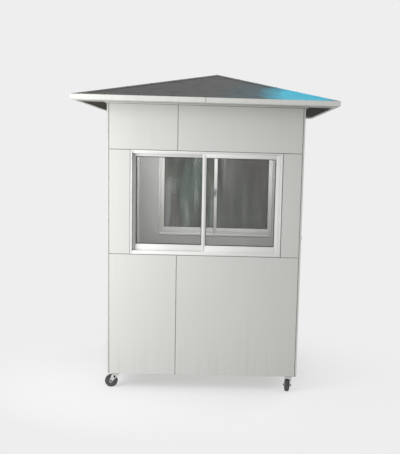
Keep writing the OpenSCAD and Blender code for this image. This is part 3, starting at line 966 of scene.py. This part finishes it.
class BOOTH_OT_door_handles(bpy.types.Operator):
    """Makes the lever handle with its rose plate and lock, outside and inside"""
    bl_idname = "booth.door_handles"
    bl_label = "Door handles"

    def execute(self, context):
        (leaf_low, leaf_high), _, _ = door_boxes()
        low, high = on_wall("door_handles", RIGHT)
        z = (low.z + high.z) / 2
        x = low.x + 0.018
        reach = high.x
        parts = []
        for face, way in ((leaf_low.y, -1), (leaf_high.y, 1)):
            def span(near, far):
                return sorted((face + way * near, face + way * far))
            ya, yb = span(0, 0.006)
            plate = bars("handle_plate", [((x - 0.018, ya, z - 0.060),
                                           (x + 0.018, yb, z + 0.060))], 0)
            round_corners(plate, 1, 0.015, 0.0012)
            neck = post("handle_neck", (x, face + way * 0.022, z), 0.009, 0.040, 28, "Y", 0.0015)
            ya, yb = span(0.034, 0.046)
            lever = bars("handle_lever", [((x - 0.009, ya, z - 0.009), (reach, yb, z + 0.009))], 0)
            edit(lever)
            choose(lever, lambda part: part.normal.x > SQUARE_ON)
            bpy.ops.transform.resize(value=(1, 0.75, 0.72))
            leave_edit()
            round_edges(lever, 0.0038, 4, 30)
            smooth(lever, 60)
            lock = post("lock_face", (x, face + way * 0.0075, z - 0.040), 0.0095, 0.005, 28, "Y",
                        0.001)
            key = bars("key_slot", [((x - 0.001, min(face, face + way * 0.012), z - 0.045),
                                     (x + 0.001, max(face, face + way * 0.012), z - 0.035))], 0)
            cut(lock, key)
            parts += [plate, neck, lever, lock]
        piece = together("door_lever_handles", *parts)
        fit_on_wall(piece, RIGHT, "stainless_steel", "door_fittings", "door_handles")
        return {"FINISHED"}


class BOOTH_OT_door_hinges(bpy.types.Operator):
    """Makes the butt hinges with their knuckles and screws"""
    bl_idname = "booth.door_hinges"
    bl_label = "Door hinges"

    def execute(self, context):
        (leaf_low, leaf_high), _, _ = door_boxes()
        low, high = on_wall("door_hinges", RIGHT)
        x = (low.x + high.x) / 2
        half, tall = (high.x - low.x) / 2, HINGE_TALL
        face = leaf_low.y
        plates = bars("hinge_plates", [((x - half, face - 0.002, 0), (x - 0.0005, face, tall)),
                                       ((x + 0.0005, face - 0.002, 0), (x + half, face, tall))],
                      0.0006)
        parts = [plates]
        length_each = tall / 5
        for n in range(5):
            parts.append(post("knuckle", (x, face - 0.007, (n + 0.5) * length_each), 0.007,
                              length_each - 0.0006, 24, "Z", 0.0008))
        for sx in (-1, 1):
            for share in (0.14, 0.5, 0.86):
                screw = post("hinge_screw", (x + sx * 0.0115, face - 0.0022, tall * share), 0.0028,
                             0.0016, 16, "Y", 0.0004)
                parts.append(screw)
        one = together("hinge", *parts)
        steps = [leaf_low.z + share * (leaf_high.z - leaf_low.z) - tall / 2
                 for share in (0.12, 0.5, 0.88)]
        copies = [twin(one, "hinge_copy", Matrix.Translation((0, 0, z))) for z in steps[1:]]
        move(one, Matrix.Translation((0, 0, steps[0])))
        piece = together("door_butt_hinges", *copies, one)
        fit_on_wall(piece, RIGHT, "stainless_steel", "door_fittings", "door_hinges")
        return {"FINISHED"}


# ---- inside ----

class BOOTH_OT_inner_trims(bpy.types.Operator):
    """Runs the skirting, the corner trims and the ceiling trim round the inside"""
    bl_idname = "booth.inner_trims"
    bl_label = "Inner trims"

    def execute(self, context):
        tall = context.scene.booth_sizes.skirting
        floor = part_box("floor_board")
        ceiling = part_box("ceiling")[0].z
        door = on_wall("door_frame", RIGHT)
        (x0, y0, _), (x1, y1, z0) = floor
        t, w = 0.010, 0.022
        skirting = [((x0, y0, z0), (x1, y0 + t, z0 + tall)),
                    ((x0, y1 - t, z0), (x1, y1, z0 + tall)),
                    ((x0, y0 + t, z0), (x0 + t, y1 - t, z0 + tall)),
                    ((x1 - t, y0 + t, z0), (x1, door[0].x - 0.002, z0 + tall)),
                    ((x1 - t, door[1].x + 0.002, z0), (x1, y1 - t, z0 + tall))]
        posts = []
        for sx in (x0, x1 - w):
            for sy in (y0, y1 - w):
                posts.append(((sx, sy, z0 + tall), (sx + w, sy + w, ceiling - w)))
        cove = [((x0, y0, ceiling - w), (x1, y0 + w, ceiling)),
                ((x0, y1 - w, ceiling - w), (x1, y1, ceiling)),
                ((x0, y0 + w, ceiling - w), (x0 + w, y1 - w, ceiling)),
                ((x1 - w, y0 + w, ceiling - w), (x1, y1 - w, ceiling))]
        for name, boxes, edge in (("skirting", skirting, 0.002),
                                  ("inner_corner_trims", posts, 0.004),
                                  ("ceiling_trim", cove, 0.004)):
            hand_over(bars(name, boxes, edge, 3), "booth", "trim_white", "inner_lining")
        return {"FINISHED"}


# ---- roof and eaves ----

def roof_peak():
    points = frame["nodes"]["roof_sheet"].data.vertices
    return max((v.co for v in points), key=lambda co: co.z).copy()


class BOOTH_OT_roof(bpy.types.Operator):
    """Folds the four roof slopes, with raised caps along the hips and the eaves"""
    bl_idname = "booth.roof"
    bl_label = "Roof"

    def execute(self, context):
        sizes = context.scene.booth_sizes
        low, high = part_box("roof_sheet")
        peak = roof_peak()
        pick()
        bpy.ops.mesh.primitive_cone_add(vertices=4, radius1=1, radius2=0, depth=high.z - low.z,
                                        location=(0, 0, (low.z + high.z) / 2),
                                        rotation=(0, 0, pi / 4))
        piece = bpy.context.object
        piece.name = "roof_cover"
        settle(piece)
        half = max(v.co.x for v in piece.data.vertices)
        piece.scale = (high.x / half, high.y / half, 1)
        settle(piece)
        edit(piece)
        choose(piece, lambda face: face.normal.z < -SQUARE_ON)
        bpy.ops.mesh.delete(type="ONLY_FACE")
        edit(piece, "VERT")
        shape = bmesh.from_edit_mesh(piece.data)
        for vert in shape.verts:
            vert.select_set(vert.co.z > high.z - 0.001)
        bmesh.update_edit_mesh(piece.data)
        bpy.ops.transform.translate(value=(peak.x, peak.y, 0))
        bpy.ops.mesh.select_mode(type="FACE")
        choose(piece, lambda face: True)
        bpy.ops.mesh.inset(thickness=sizes.hip_cap, use_individual=True)
        bpy.ops.mesh.extrude_region_move(
            TRANSFORM_OT_translate={"value": (0, 0, -sizes.cap_step)})
        bpy.ops.mesh.separate(type="SELECTED")
        leave_edit()
        piece.name = "roof_caps"
        panels = next(o for o in bpy.context.selected_objects if o is not piece)
        panels.name = "roof_panels"
        # The caps take the lighter copy of the roof paint: a painted highlight along the hips and
        # eaves
        for sheet, paint in ((panels, "roof_paint"), (piece, "roof_cap_painted_highlight")):
            shell = sheet.modifiers.new("sheet", "SOLIDIFY")
            shell.thickness = ROOF_GAUGE
            shell.offset = -1
            pick(sheet)
            bpy.ops.object.modifier_apply(modifier=shell.name)
            hand_over(sheet, "booth", paint, "roof_sheet", "roof_sheet")
        return {"FINISHED"}


class BOOTH_OT_roof_screws(bpy.types.Operator):
    """Sets the washer head screws that hold the caps down along the hips"""
    bl_idname = "booth.roof_screws"
    bl_label = "Roof screws"

    def execute(self, context):
        low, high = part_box("roof_sheet")
        peak = roof_peak()
        washer = post("screw_washer", (0, 0, 0.0008), 0.0065, 0.0016, 16, "Z", 0.0005, 1)
        head = post("screw_head", (0, 0, 0.0034), 0.004, 0.0036, 6, "Z", 0.0006, 1)
        master = together("screw", head, washer)
        copies = []
        ends = [Vector((x, y, low.z)) for x, y in ((low.x, low.y), (high.x, low.y),
                                                   (high.x, high.y), (low.x, high.y))]
        middles = []
        for n, corner in enumerate(ends):
            after = ends[(n + 1) % 4]
            normal = (after - corner).cross(peak - corner).normalized()
            inward = normal.cross((after - corner).normalized())
            for along in range(1, 8):
                at = corner.lerp(after, along / 8) + inward * SCREW_INSET
                middles.append((at, normal))
            for share in (0.18, 0.34, 0.50, 0.66, 0.82):
                edge_way = (peak - corner).normalized()
                side_way = normal.cross(edge_way)
                side_way *= 1 if side_way.dot(after - corner) > 0 else -1
                middles.append((corner.lerp(peak, share) + side_way * SCREW_INSET, normal))
        for at, normal in middles:
            turn = normal.to_track_quat("Z", "Y").to_matrix().to_4x4()
            copies.append(twin(master, "screw_copy", Matrix.Translation(at) @ turn))
        throw_away(master)
        piece = together("roof_cap_screws", *copies)
        # The screws take the caps' lighter paint, with its painted highlight
        hand_over(piece, "booth", "roof_cap_painted_highlight", "roof_sheet")
        return {"FINISHED"}


class BOOTH_OT_eaves_trims(bpy.types.Operator):
    """Edges the soffit with a channel along the wall and along the fascia"""
    bl_idname = "booth.eaves_trims"
    bl_label = "Eaves trims"

    def execute(self, context):
        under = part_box("side_soffits")[0].z
        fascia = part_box("side_fascias")
        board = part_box("front_fascia")
        inner = (-fascia[0].x - (board[1].y - board[0].y), -board[1].y)
        wall = (WALL_OUT[LEFT], WALL_OUT[FRONT])
        drop, wide = 0.004, 0.016
        boxes = []
        for (hx, hy), grow in ((inner, -wide), (wall, wide)):
            for s in (-1, 1):
                edge_a, edge_b = sorted((s * hy, s * (hy + grow)))
                boxes.append(((-max(hx, hx + grow), edge_a, under - drop),
                              (max(hx, hx + grow), edge_b, under)))
                edge_a, edge_b = sorted((s * hx, s * (hx + grow)))
                clear = min(hy, hy + grow)
                boxes.append(((edge_a, -clear, under - drop), (edge_b, clear, under)))
        piece = bars("soffit_channels", boxes, 0.0008)
        hand_over(piece, "booth", "fascia_sheet", "soffit")
        centre = (board[0].x + board[1].x) / 2
        bead = bars("fascia_joint_sealant", [((centre - 0.0015, board[0].y + 0.0004, board[0].z),
                                              (centre + 0.0015, board[1].y, board[1].z))],
                    0.0003, 1)
        hand_over(bead, "booth", "dark_sealant", "fascia")
        return {"FINISHED"}


# ---- base frame ----

class BOOTH_OT_welds(bpy.types.Operator):
    """Lays weld beads where the bearers meet the side beams"""
    bl_idname = "booth.welds"
    bl_label = "Base frame welds"

    def execute(self, context):
        cross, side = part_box("base_cross_beams"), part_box("base_side_beams")
        third = WALL_OUT[FRONT] / 3
        inner = side[1].x - SIDE_BEAM
        z0, z1 = cross[0].z, cross[1].z
        beads = []
        master = post("weld", (0, 0, (z0 + z1) / 2), 0.004, z1 - z0 - 0.004, 12, "Z", 0.002, 2)
        edit(master)
        bpy.ops.mesh.select_all(action="SELECT")
        bpy.ops.mesh.subdivide(number_cuts=3)
        leave_edit()
        for sx in (-1, 1):
            for y in (-third, third):
                for sy in (-1, 1):
                    at = (sx * inner, y + sy * BEARER_HALF, 0)
                    beads.append(twin(master, "weld_copy", Matrix.Translation(at)))
        throw_away(master)
        piece = together("base_frame_welds", *beads)
        hand_over(piece, "booth", "weld_bead", "frame_steel")
        return {"FINISHED"}


# ---- casters ----

def caster_points(corner):
    """Where a caster swivels, and where its axle is"""
    places = {joint["name"]: Vector(joint["pos_m"]) for joint in frame["joints"]}
    return places[f"{corner}_swivel"], places[f"{corner}_roll"]


def caster_place(corner, turned=True):
    """From a caster's own axes to the booth's: x is the way it trails, 0 on its swivel"""
    swivel, axle = caster_points(corner)
    place = Matrix.Translation((swivel.x, swivel.y, 0))
    if not turned:
        return place
    way = axle - swivel
    turn = Matrix.Rotation(Vector((1, 0)).angle_signed(Vector((way.x, way.y))) * -1, 4, "Z")
    return place @ turn


def caster_sizes():
    """Sizes of a caster from the CAD's own parts"""
    swivel, axle = caster_points("back_left")
    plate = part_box("back_left_caster_plate")
    under = plate[1].z - 0.005
    return {"trail": Vector((axle.x - swivel.x, axle.y - swivel.y)).length, "axle_z": axle.z,
            "top": plate[1].z, "plate": plate[1].x - plate[0].x, "under": under,
            "crown": under - FIT - RACE_TALL}


def copy_to_casters(turned, *rows):
    """Copies each master to every caster: master, name, body, material, slot, nodes it replaces"""
    for corner in CORNERS:
        place = caster_place(corner, turned)
        for master, name, body, material, slot, *nodes in rows:
            piece = twin(master, f"{corner}_{name}", place)
            hand_over(piece, body if body == "booth" else f"{corner}_{body}", material, slot,
                      *(f"{corner}_{node}" for node in nodes))
    throw_away(*(row[0] for row in rows))


class BOOTH_OT_caster_plates(bpy.types.Operator):
    """Makes the casters' top plates with their bolts and the kingpin's nut"""
    bl_idname = "booth.caster_plates"
    bl_label = "Caster plates"

    def execute(self, context):
        size = caster_sizes()
        half = size["plate"] / 2
        head = context.scene.booth_sizes.bolt_head
        plate = bars("plate", [((-half, -half, size["under"]), (half, half, size["top"]))], 0)
        round_corners(plate, 2, 0.009, 0.0008)
        parts = [plate]
        for sx in (-1, 1):
            for sy in (-1, 1):
                spot = (sx * (half - 0.009), sy * (half - 0.009))
                parts.append(post("washer", (*spot, size["under"] - 0.0008), head * 0.62, 0.0016,
                                  20, "Z", 0.0004, 1))
                parts.append(post("bolt", (*spot, size["under"] - 0.0036), head / 2, 0.0045, 6,
                                  "Z", 0.0007, 2))
        crown = size["crown"]
        pin = post("kingpin", (0, 0, (size["under"] + crown) / 2 - 0.001), 0.0059,
                   size["under"] - crown + 0.004, 28, "Z", 0.0005, 1)
        nut = post("kingpin_nut", (0, 0, crown - 0.0023), 0.0098, 0.0038, 6, "Z", 0.0008, 2)
        master = together("plate_master", *parts, nut, pin)
        copy_to_casters(False, (master, "swivel_plate", "booth", "zinc_plate", "zinc_steel",
                                "caster_plate"))
        return {"FINISHED"}


class BOOTH_OT_caster_forks(bpy.types.Operator):
    """Presses the casters' forks: raceway, crown and two dished legs, with the axle bolt"""
    bl_idname = "booth.caster_forks"
    bl_label = "Caster forks"

    def leg(self, size, crown, outer, inner):
        """The right leg, cut to its taper, dished and holed"""
        trail, axle_z = size["trail"], size["axle_z"]
        end = 0.013
        top = crown + 0.004
        leg = bars("leg", [((-0.026, inner, axle_z), (trail + end, outer, top))], 0)
        for spot, way in (((0.026, top), (trail + end - 0.026, axle_z - top)),
                          ((-0.026, crown - 0.008), (trail - end + 0.026, axle_z - crown + 0.008))):
            along = Vector((way[0], 0, way[1]))
            across = along.cross(Vector((0, 1, 0)))
            facing_front = spot[0] > 0
            across *= 1 if (across.x > 0) == facing_front else -1
            edit(leg)
            bpy.ops.mesh.select_all(action="SELECT")
            bpy.ops.mesh.bisect(plane_co=(spot[0], 0, spot[1]), plane_no=across, use_fill=True,
                                clear_outer=True)
            leave_edit()
        edit(leg)
        choose(leg, lambda face: face.normal.y > SQUARE_ON)
        bpy.ops.mesh.inset(thickness=0.0028)
        bpy.ops.mesh.extrude_region_move(TRANSFORM_OT_translate={"value": (0, -0.0012, 0)})
        bpy.ops.mesh.inset(thickness=0.001)
        leave_edit()
        hole = post("leg_hole", (0, 0, 0), 0.0075, 0.02, 36, "Y", 0)
        hole.scale = (1.0, 1.0, 1.6)
        settle(hole)
        move(hole, Matrix.Translation((0.006, (outer + inner) / 2, crown - 0.018)))
        cut(leg, hole)
        round_edges(leg, 0.0004, 1, 50)
        smooth(leg)
        boss = post("leg_end", (trail, (inner + outer) / 2, axle_z), end, outer - inner, 40, "Y",
                    0.0006)
        return together("leg", boss, leg)

    def execute(self, context):
        size = caster_sizes()
        crown = size["crown"]
        race_top = size["under"] - FIT
        inner, outer = 0.020, 0.024
        leg = self.leg(size, crown, outer, inner)
        parts = [leg, twin(leg, "other_leg", Matrix.Diagonal((1, -1, 1, 1)))]
        deck = bars("crown", [((-0.026, -outer, crown), (0.026, outer, crown + 0.004))], 0.001)
        parts.append(deck)
        lower = post("race_cup", (0, 0, crown + 0.0032), 0.026, 0.0064, 48, "Z", 0.0015, 3)
        balls = post("race_gap", (0, 0, crown + 0.007), 0.0235, 0.003, 48, "Z", 0.0004, 1)
        upper = post("race_cover", (0, 0, (crown + 0.0078 + race_top) / 2), 0.0257,
                     race_top - crown - 0.0078, 48, "Z", 0.0018, 3)
        rings = together("race", balls, lower, upper)
        cut(deck, post("bore", (0, 0, crown + 0.005), 0.00605, 0.06, 28, "Z", 0))
        parts.append(rings)
        for way in (-1, 1):
            washer = post("axle_washer", (size["trail"], way * (outer + 0.0008), size["axle_z"]),
                          0.0105, 0.0016, 28, "Y", 0.0004, 1)
            head = post("axle_nut", (size["trail"], way * (outer + 0.0048), size["axle_z"]),
                        0.0085, 0.0064, 6, "Y", 0.0009, 2)
            end = post("axle_end", (size["trail"], way * (outer + 0.0085), size["axle_z"]),
                       0.0045, 0.0025, 20, "Y", 0.0008, 2)
            parts += [washer, head, end]
        axle = post("axle", (size["trail"], 0, size["axle_z"]), 0.0049, 2 * outer, 28, "Y",
                    0.0003, 1)
        master = together("fork_master", *parts[:4])
        bolts = together("bolt_master", *parts[4:], axle)
        copy_to_casters(True, (master, "fork_pressing", "caster_fork", "zinc_plate", "zinc_steel",
                               "fork"),
                        (bolts, "axle_bolt", "caster_fork", "dark_bolt", "zinc_steel"))
        return {"FINISHED"}


class BOOTH_OT_caster_wheels(bpy.types.Operator):
    """Turns the tyres, with rounded shoulders and grooves, and their hubs"""
    bl_idname = "booth.caster_wheels"
    bl_label = "Caster wheels"

    def wheel_half(self, piece, way, steps):
        """Insets one end face by steps of width and sinks it by each depth"""
        edit(piece)
        choose(piece, lambda face: face.normal.y * way > SQUARE_ON and len(face.verts) > 12)
        for width, depth in steps:
            bpy.ops.mesh.inset(thickness=width)
            if depth:
                bpy.ops.transform.translate(value=(0, -way * depth, 0))
        leave_edit()

    def bore_through(self, piece):
        """Opens the wheel from one end face to the other"""
        edit(piece)
        choose(piece, lambda face: abs(face.normal.y) > SQUARE_ON and len(face.verts) > 12)
        bpy.ops.mesh.bridge_edge_loops()
        leave_edit()

    def execute(self, context):
        size = caster_sizes()
        radius, width = size["axle_z"], 0.030
        centre = (size["trail"], 0, size["axle_z"])
        tyre = post("tyre", centre, radius, width, 64, "Y",
                    context.scene.booth_sizes.tyre_round, 5)
        for way in (-1, 1):
            self.wheel_half(tyre, way, ((0.0035, 0.0), (0.001, 0.0010), (0.002, 0.0),
                                        (0.001, -0.0010), (0.0015, 0.0)))
        self.bore_through(tyre)
        smooth(tyre, 40)
        hub = post("hub", centre, 0.0350, 0.030, 64, "Y", 0, 1)
        for way in (-1, 1):
            self.wheel_half(hub, way, ((0.0035, 0.0), (0.002, 0.0045), (0.010, 0.0005),
                                       (0.0015, 0.0), (0.0015, -0.0075), (0.0105, -0.0010)))
        self.bore_through(hub)
        smooth(hub, 30)
        copy_to_casters(True, (tyre, "tyre", "caster_wheel", "tyre_rubber", "tyre_rubber", "wheel"),
                        (hub, "hub", "caster_wheel", "hub_plastic", "tyre_rubber"))
        return {"FINISHED"}


# ---- studio ----

# Where the camera stands, its tilt, and how far its frame is shifted
CAMERA_PLACE = (0.1977, -6.6331, 1.8682)
CAMERA_TURN = (8.4664, -1.4085, 1.3295)
CAMERA_LENS = 60.631
CAMERA_SHIFT = (-0.1059, 0.0903)


def camera_axes(turn):
    """The camera's own right, down and forward in the booth's axes"""
    rx, ry, rz = (radians(angle) for angle in turn)
    about_x = Matrix(((1, 0, 0), (0, cos(rx), -sin(rx)), (0, sin(rx), cos(rx))))
    about_y = Matrix(((cos(ry), 0, sin(ry)), (0, 1, 0), (-sin(ry), 0, cos(ry))))
    about_z = Matrix(((cos(rz), -sin(rz), 0), (sin(rz), cos(rz), 0), (0, 0, 1)))
    upright = Matrix(((1, 0, 0), (0, 0, -1), (0, 1, 0)))
    return about_z @ about_y @ about_x @ upright


class BOOTH_OT_stage(bpy.types.Operator):
    """Sets the plain floor, the surroundings, the soft lights and the camera"""
    bl_idname = "booth.stage"
    bl_label = "Stage"

    def ground(self, studio):
        pick()
        bpy.ops.mesh.primitive_circle_add(vertices=96, radius=60, fill_type="NGON")
        ground = bpy.context.object
        ground.name = "stage_floor"
        edit(ground)
        choose(ground, lambda face: True)
        bpy.ops.mesh.inset(thickness=48)
        leave_edit()
        f = Finish("stage_floor")
        x, y, _ = f.axes()
        out = f.sum("SQRT", f.sum("ADD", f.sum("MULTIPLY", x, x), f.sum("MULTIPLY", y, y)), 0.0)
        far = f.band(out, 0.8, 2.0, 0.60, 1.0)
        f.set(Base_Color=(0.84, 0.84, 0.84, 1), Roughness=0.9)
        f.shader.inputs["Specular IOR Level"].default_value = 0.1
        glow = f.add("ShaderNodeEmission", {"Color": (studio.backdrop,) * 3 + (1,)})
        blend = f.add("ShaderNodeMixShader", {0: far, 1: f.shader.outputs[0],
                                              2: glow.outputs[0]})
        end = next(n for n in f.tree.nodes if n.type == "OUTPUT_MATERIAL")
        f.tree.links.new(blend.outputs[0], end.inputs["Surface"])
        ground.data.materials.append(f.material)
        ground.visible_diffuse = False

    def surroundings(self, studio):
        world = bpy.data.worlds.new("studio")
        world.use_nodes = True
        tree = world.node_tree
        seen = tree.nodes["Background"]
        seen.inputs["Color"].default_value = (studio.backdrop,) * 3 + (1,)
        lit = tree.nodes.new("ShaderNodeBackground")
        lit.inputs["Color"].default_value = (1, 1, 1, 1)
        way = tree.nodes.new("ShaderNodeTexCoord")
        parts = tree.nodes.new("ShaderNodeSeparateXYZ")
        level = tree.nodes.new("ShaderNodeMapRange")
        for key, value in (("From Min", -0.35), ("From Max", 0.15),
                           ("To Min", studio.room_light * studio.from_below),
                           ("To Max", studio.room_light)):
            level.inputs[key].default_value = value
        tree.links.new(way.outputs["Generated"], parts.inputs[0])
        tree.links.new(parts.outputs[2], level.inputs["Value"])
        tree.links.new(level.outputs[0], lit.inputs["Strength"])
        path = tree.nodes.new("ShaderNodeLightPath")
        blend = tree.nodes.new("ShaderNodeMixShader")
        tree.links.new(path.outputs["Is Camera Ray"], blend.inputs[0])
        tree.links.new(lit.outputs[0], blend.inputs[1])
        tree.links.new(seen.outputs[0], blend.inputs[2])
        tree.links.new(blend.outputs[0], tree.nodes["World Output"].inputs["Surface"])
        bpy.context.scene.world = world

    def softbox(self, name, place, target, size, power):
        """A soft light that no pane mirrors"""
        light = bpy.data.lights.new(name, "AREA")
        light.shape = "RECTANGLE"
        light.size, light.size_y = size
        light.energy = power
        lamp = bpy.data.objects.new(name, light)
        bpy.context.scene.collection.objects.link(lamp)
        lamp.location = place
        lamp.rotation_euler = (Vector(target) - Vector(place)).to_track_quat("-Z", "Y").to_euler()
        lamp.visible_camera = False
        lamp.visible_glossy = False

    def execute(self, context):
        studio = context.scene.booth_studio
        self.ground(studio)
        self.surroundings(studio)
        self.softbox("key_light", (-2.5, -2.35, 1.6), (-0.5, -0.75, 1.3), (1.8, 2.8),
                     studio.key_power)
        self.softbox("fill_light", (3.4, 3.0, 2.7), (0.75, 0.75, 1.0), (2.0, 2.0),
                     studio.fill_power)
        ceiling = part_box("ceiling")[0].z
        self.softbox("room_lamp", (0, 0, ceiling - 0.03), (0, 0, 0), (1.0, 1.0),
                     studio.lamp_power)
        camera = bpy.data.objects.new("camera", bpy.data.cameras.new("camera"))
        context.scene.collection.objects.link(camera)
        right, down, forward = camera_axes(CAMERA_TURN)
        turn = Matrix((right, -Vector(down), -Vector(forward))).transposed().to_4x4()
        camera.matrix_world = Matrix.Translation(CAMERA_PLACE) @ turn
        camera.data.lens = CAMERA_LENS
        camera.data.sensor_width = 36
        camera.data.shift_x, camera.data.shift_y = CAMERA_SHIFT
        context.scene.camera = camera
        context.scene.view_settings.view_transform = "Standard"
        return {"FINISHED"}


# ---- sidebar and registration ----

STEPS = (
    BOOTH_OT_finishes, BOOTH_OT_sealant, BOOTH_OT_wall_top_trim, BOOTH_OT_window_frames,
    BOOTH_OT_weep_slots, BOOTH_OT_sashes, BOOTH_OT_gaskets, BOOTH_OT_latches,
    BOOTH_OT_door_leaf, BOOTH_OT_door_stop, BOOTH_OT_door_handles, BOOTH_OT_door_hinges,
    BOOTH_OT_inner_trims, BOOTH_OT_roof, BOOTH_OT_roof_screws, BOOTH_OT_eaves_trims,
    BOOTH_OT_welds, BOOTH_OT_caster_plates, BOOTH_OT_caster_forks, BOOTH_OT_caster_wheels,
    BOOTH_OT_stage,
)


class BOOTH_PT_panel(bpy.types.Panel):
    """Lists the booth's pieces in the order in which they are made"""
    bl_label = "Guard booth"
    bl_idname = "BOOTH_PT_panel"
    bl_space_type = "VIEW_3D"
    bl_region_type = "UI"
    bl_category = "Booth"

    def draw(self, context):
        for group in (context.scene.booth_sizes, context.scene.booth_colours,
                      context.scene.booth_studio):
            box = self.layout.box()
            for name in group.__annotations__:
                box.prop(group, name)
        for step in STEPS:
            self.layout.operator(step.bl_idname)


CLASSES = (BoothSizes, BoothColours, BoothStudio, *STEPS, BOOTH_PT_panel)


def register():
    for each in CLASSES:
        bpy.utils.register_class(each)
    bpy.types.Scene.booth_sizes = PointerProperty(type=BoothSizes)
    bpy.types.Scene.booth_colours = PointerProperty(type=BoothColours)
    bpy.types.Scene.booth_studio = PointerProperty(type=BoothStudio)


def unregister():
    del bpy.types.Scene.booth_studio
    del bpy.types.Scene.booth_colours
    del bpy.types.Scene.booth_sizes
    for each in reversed(CLASSES):
        bpy.utils.unregister_class(each)


def main():
    register()
    for step in STEPS:
        group, name = step.bl_idname.split(".")
        getattr(getattr(bpy.ops, group), name)()
    pick()


if __name__ == "__main__":
    main()
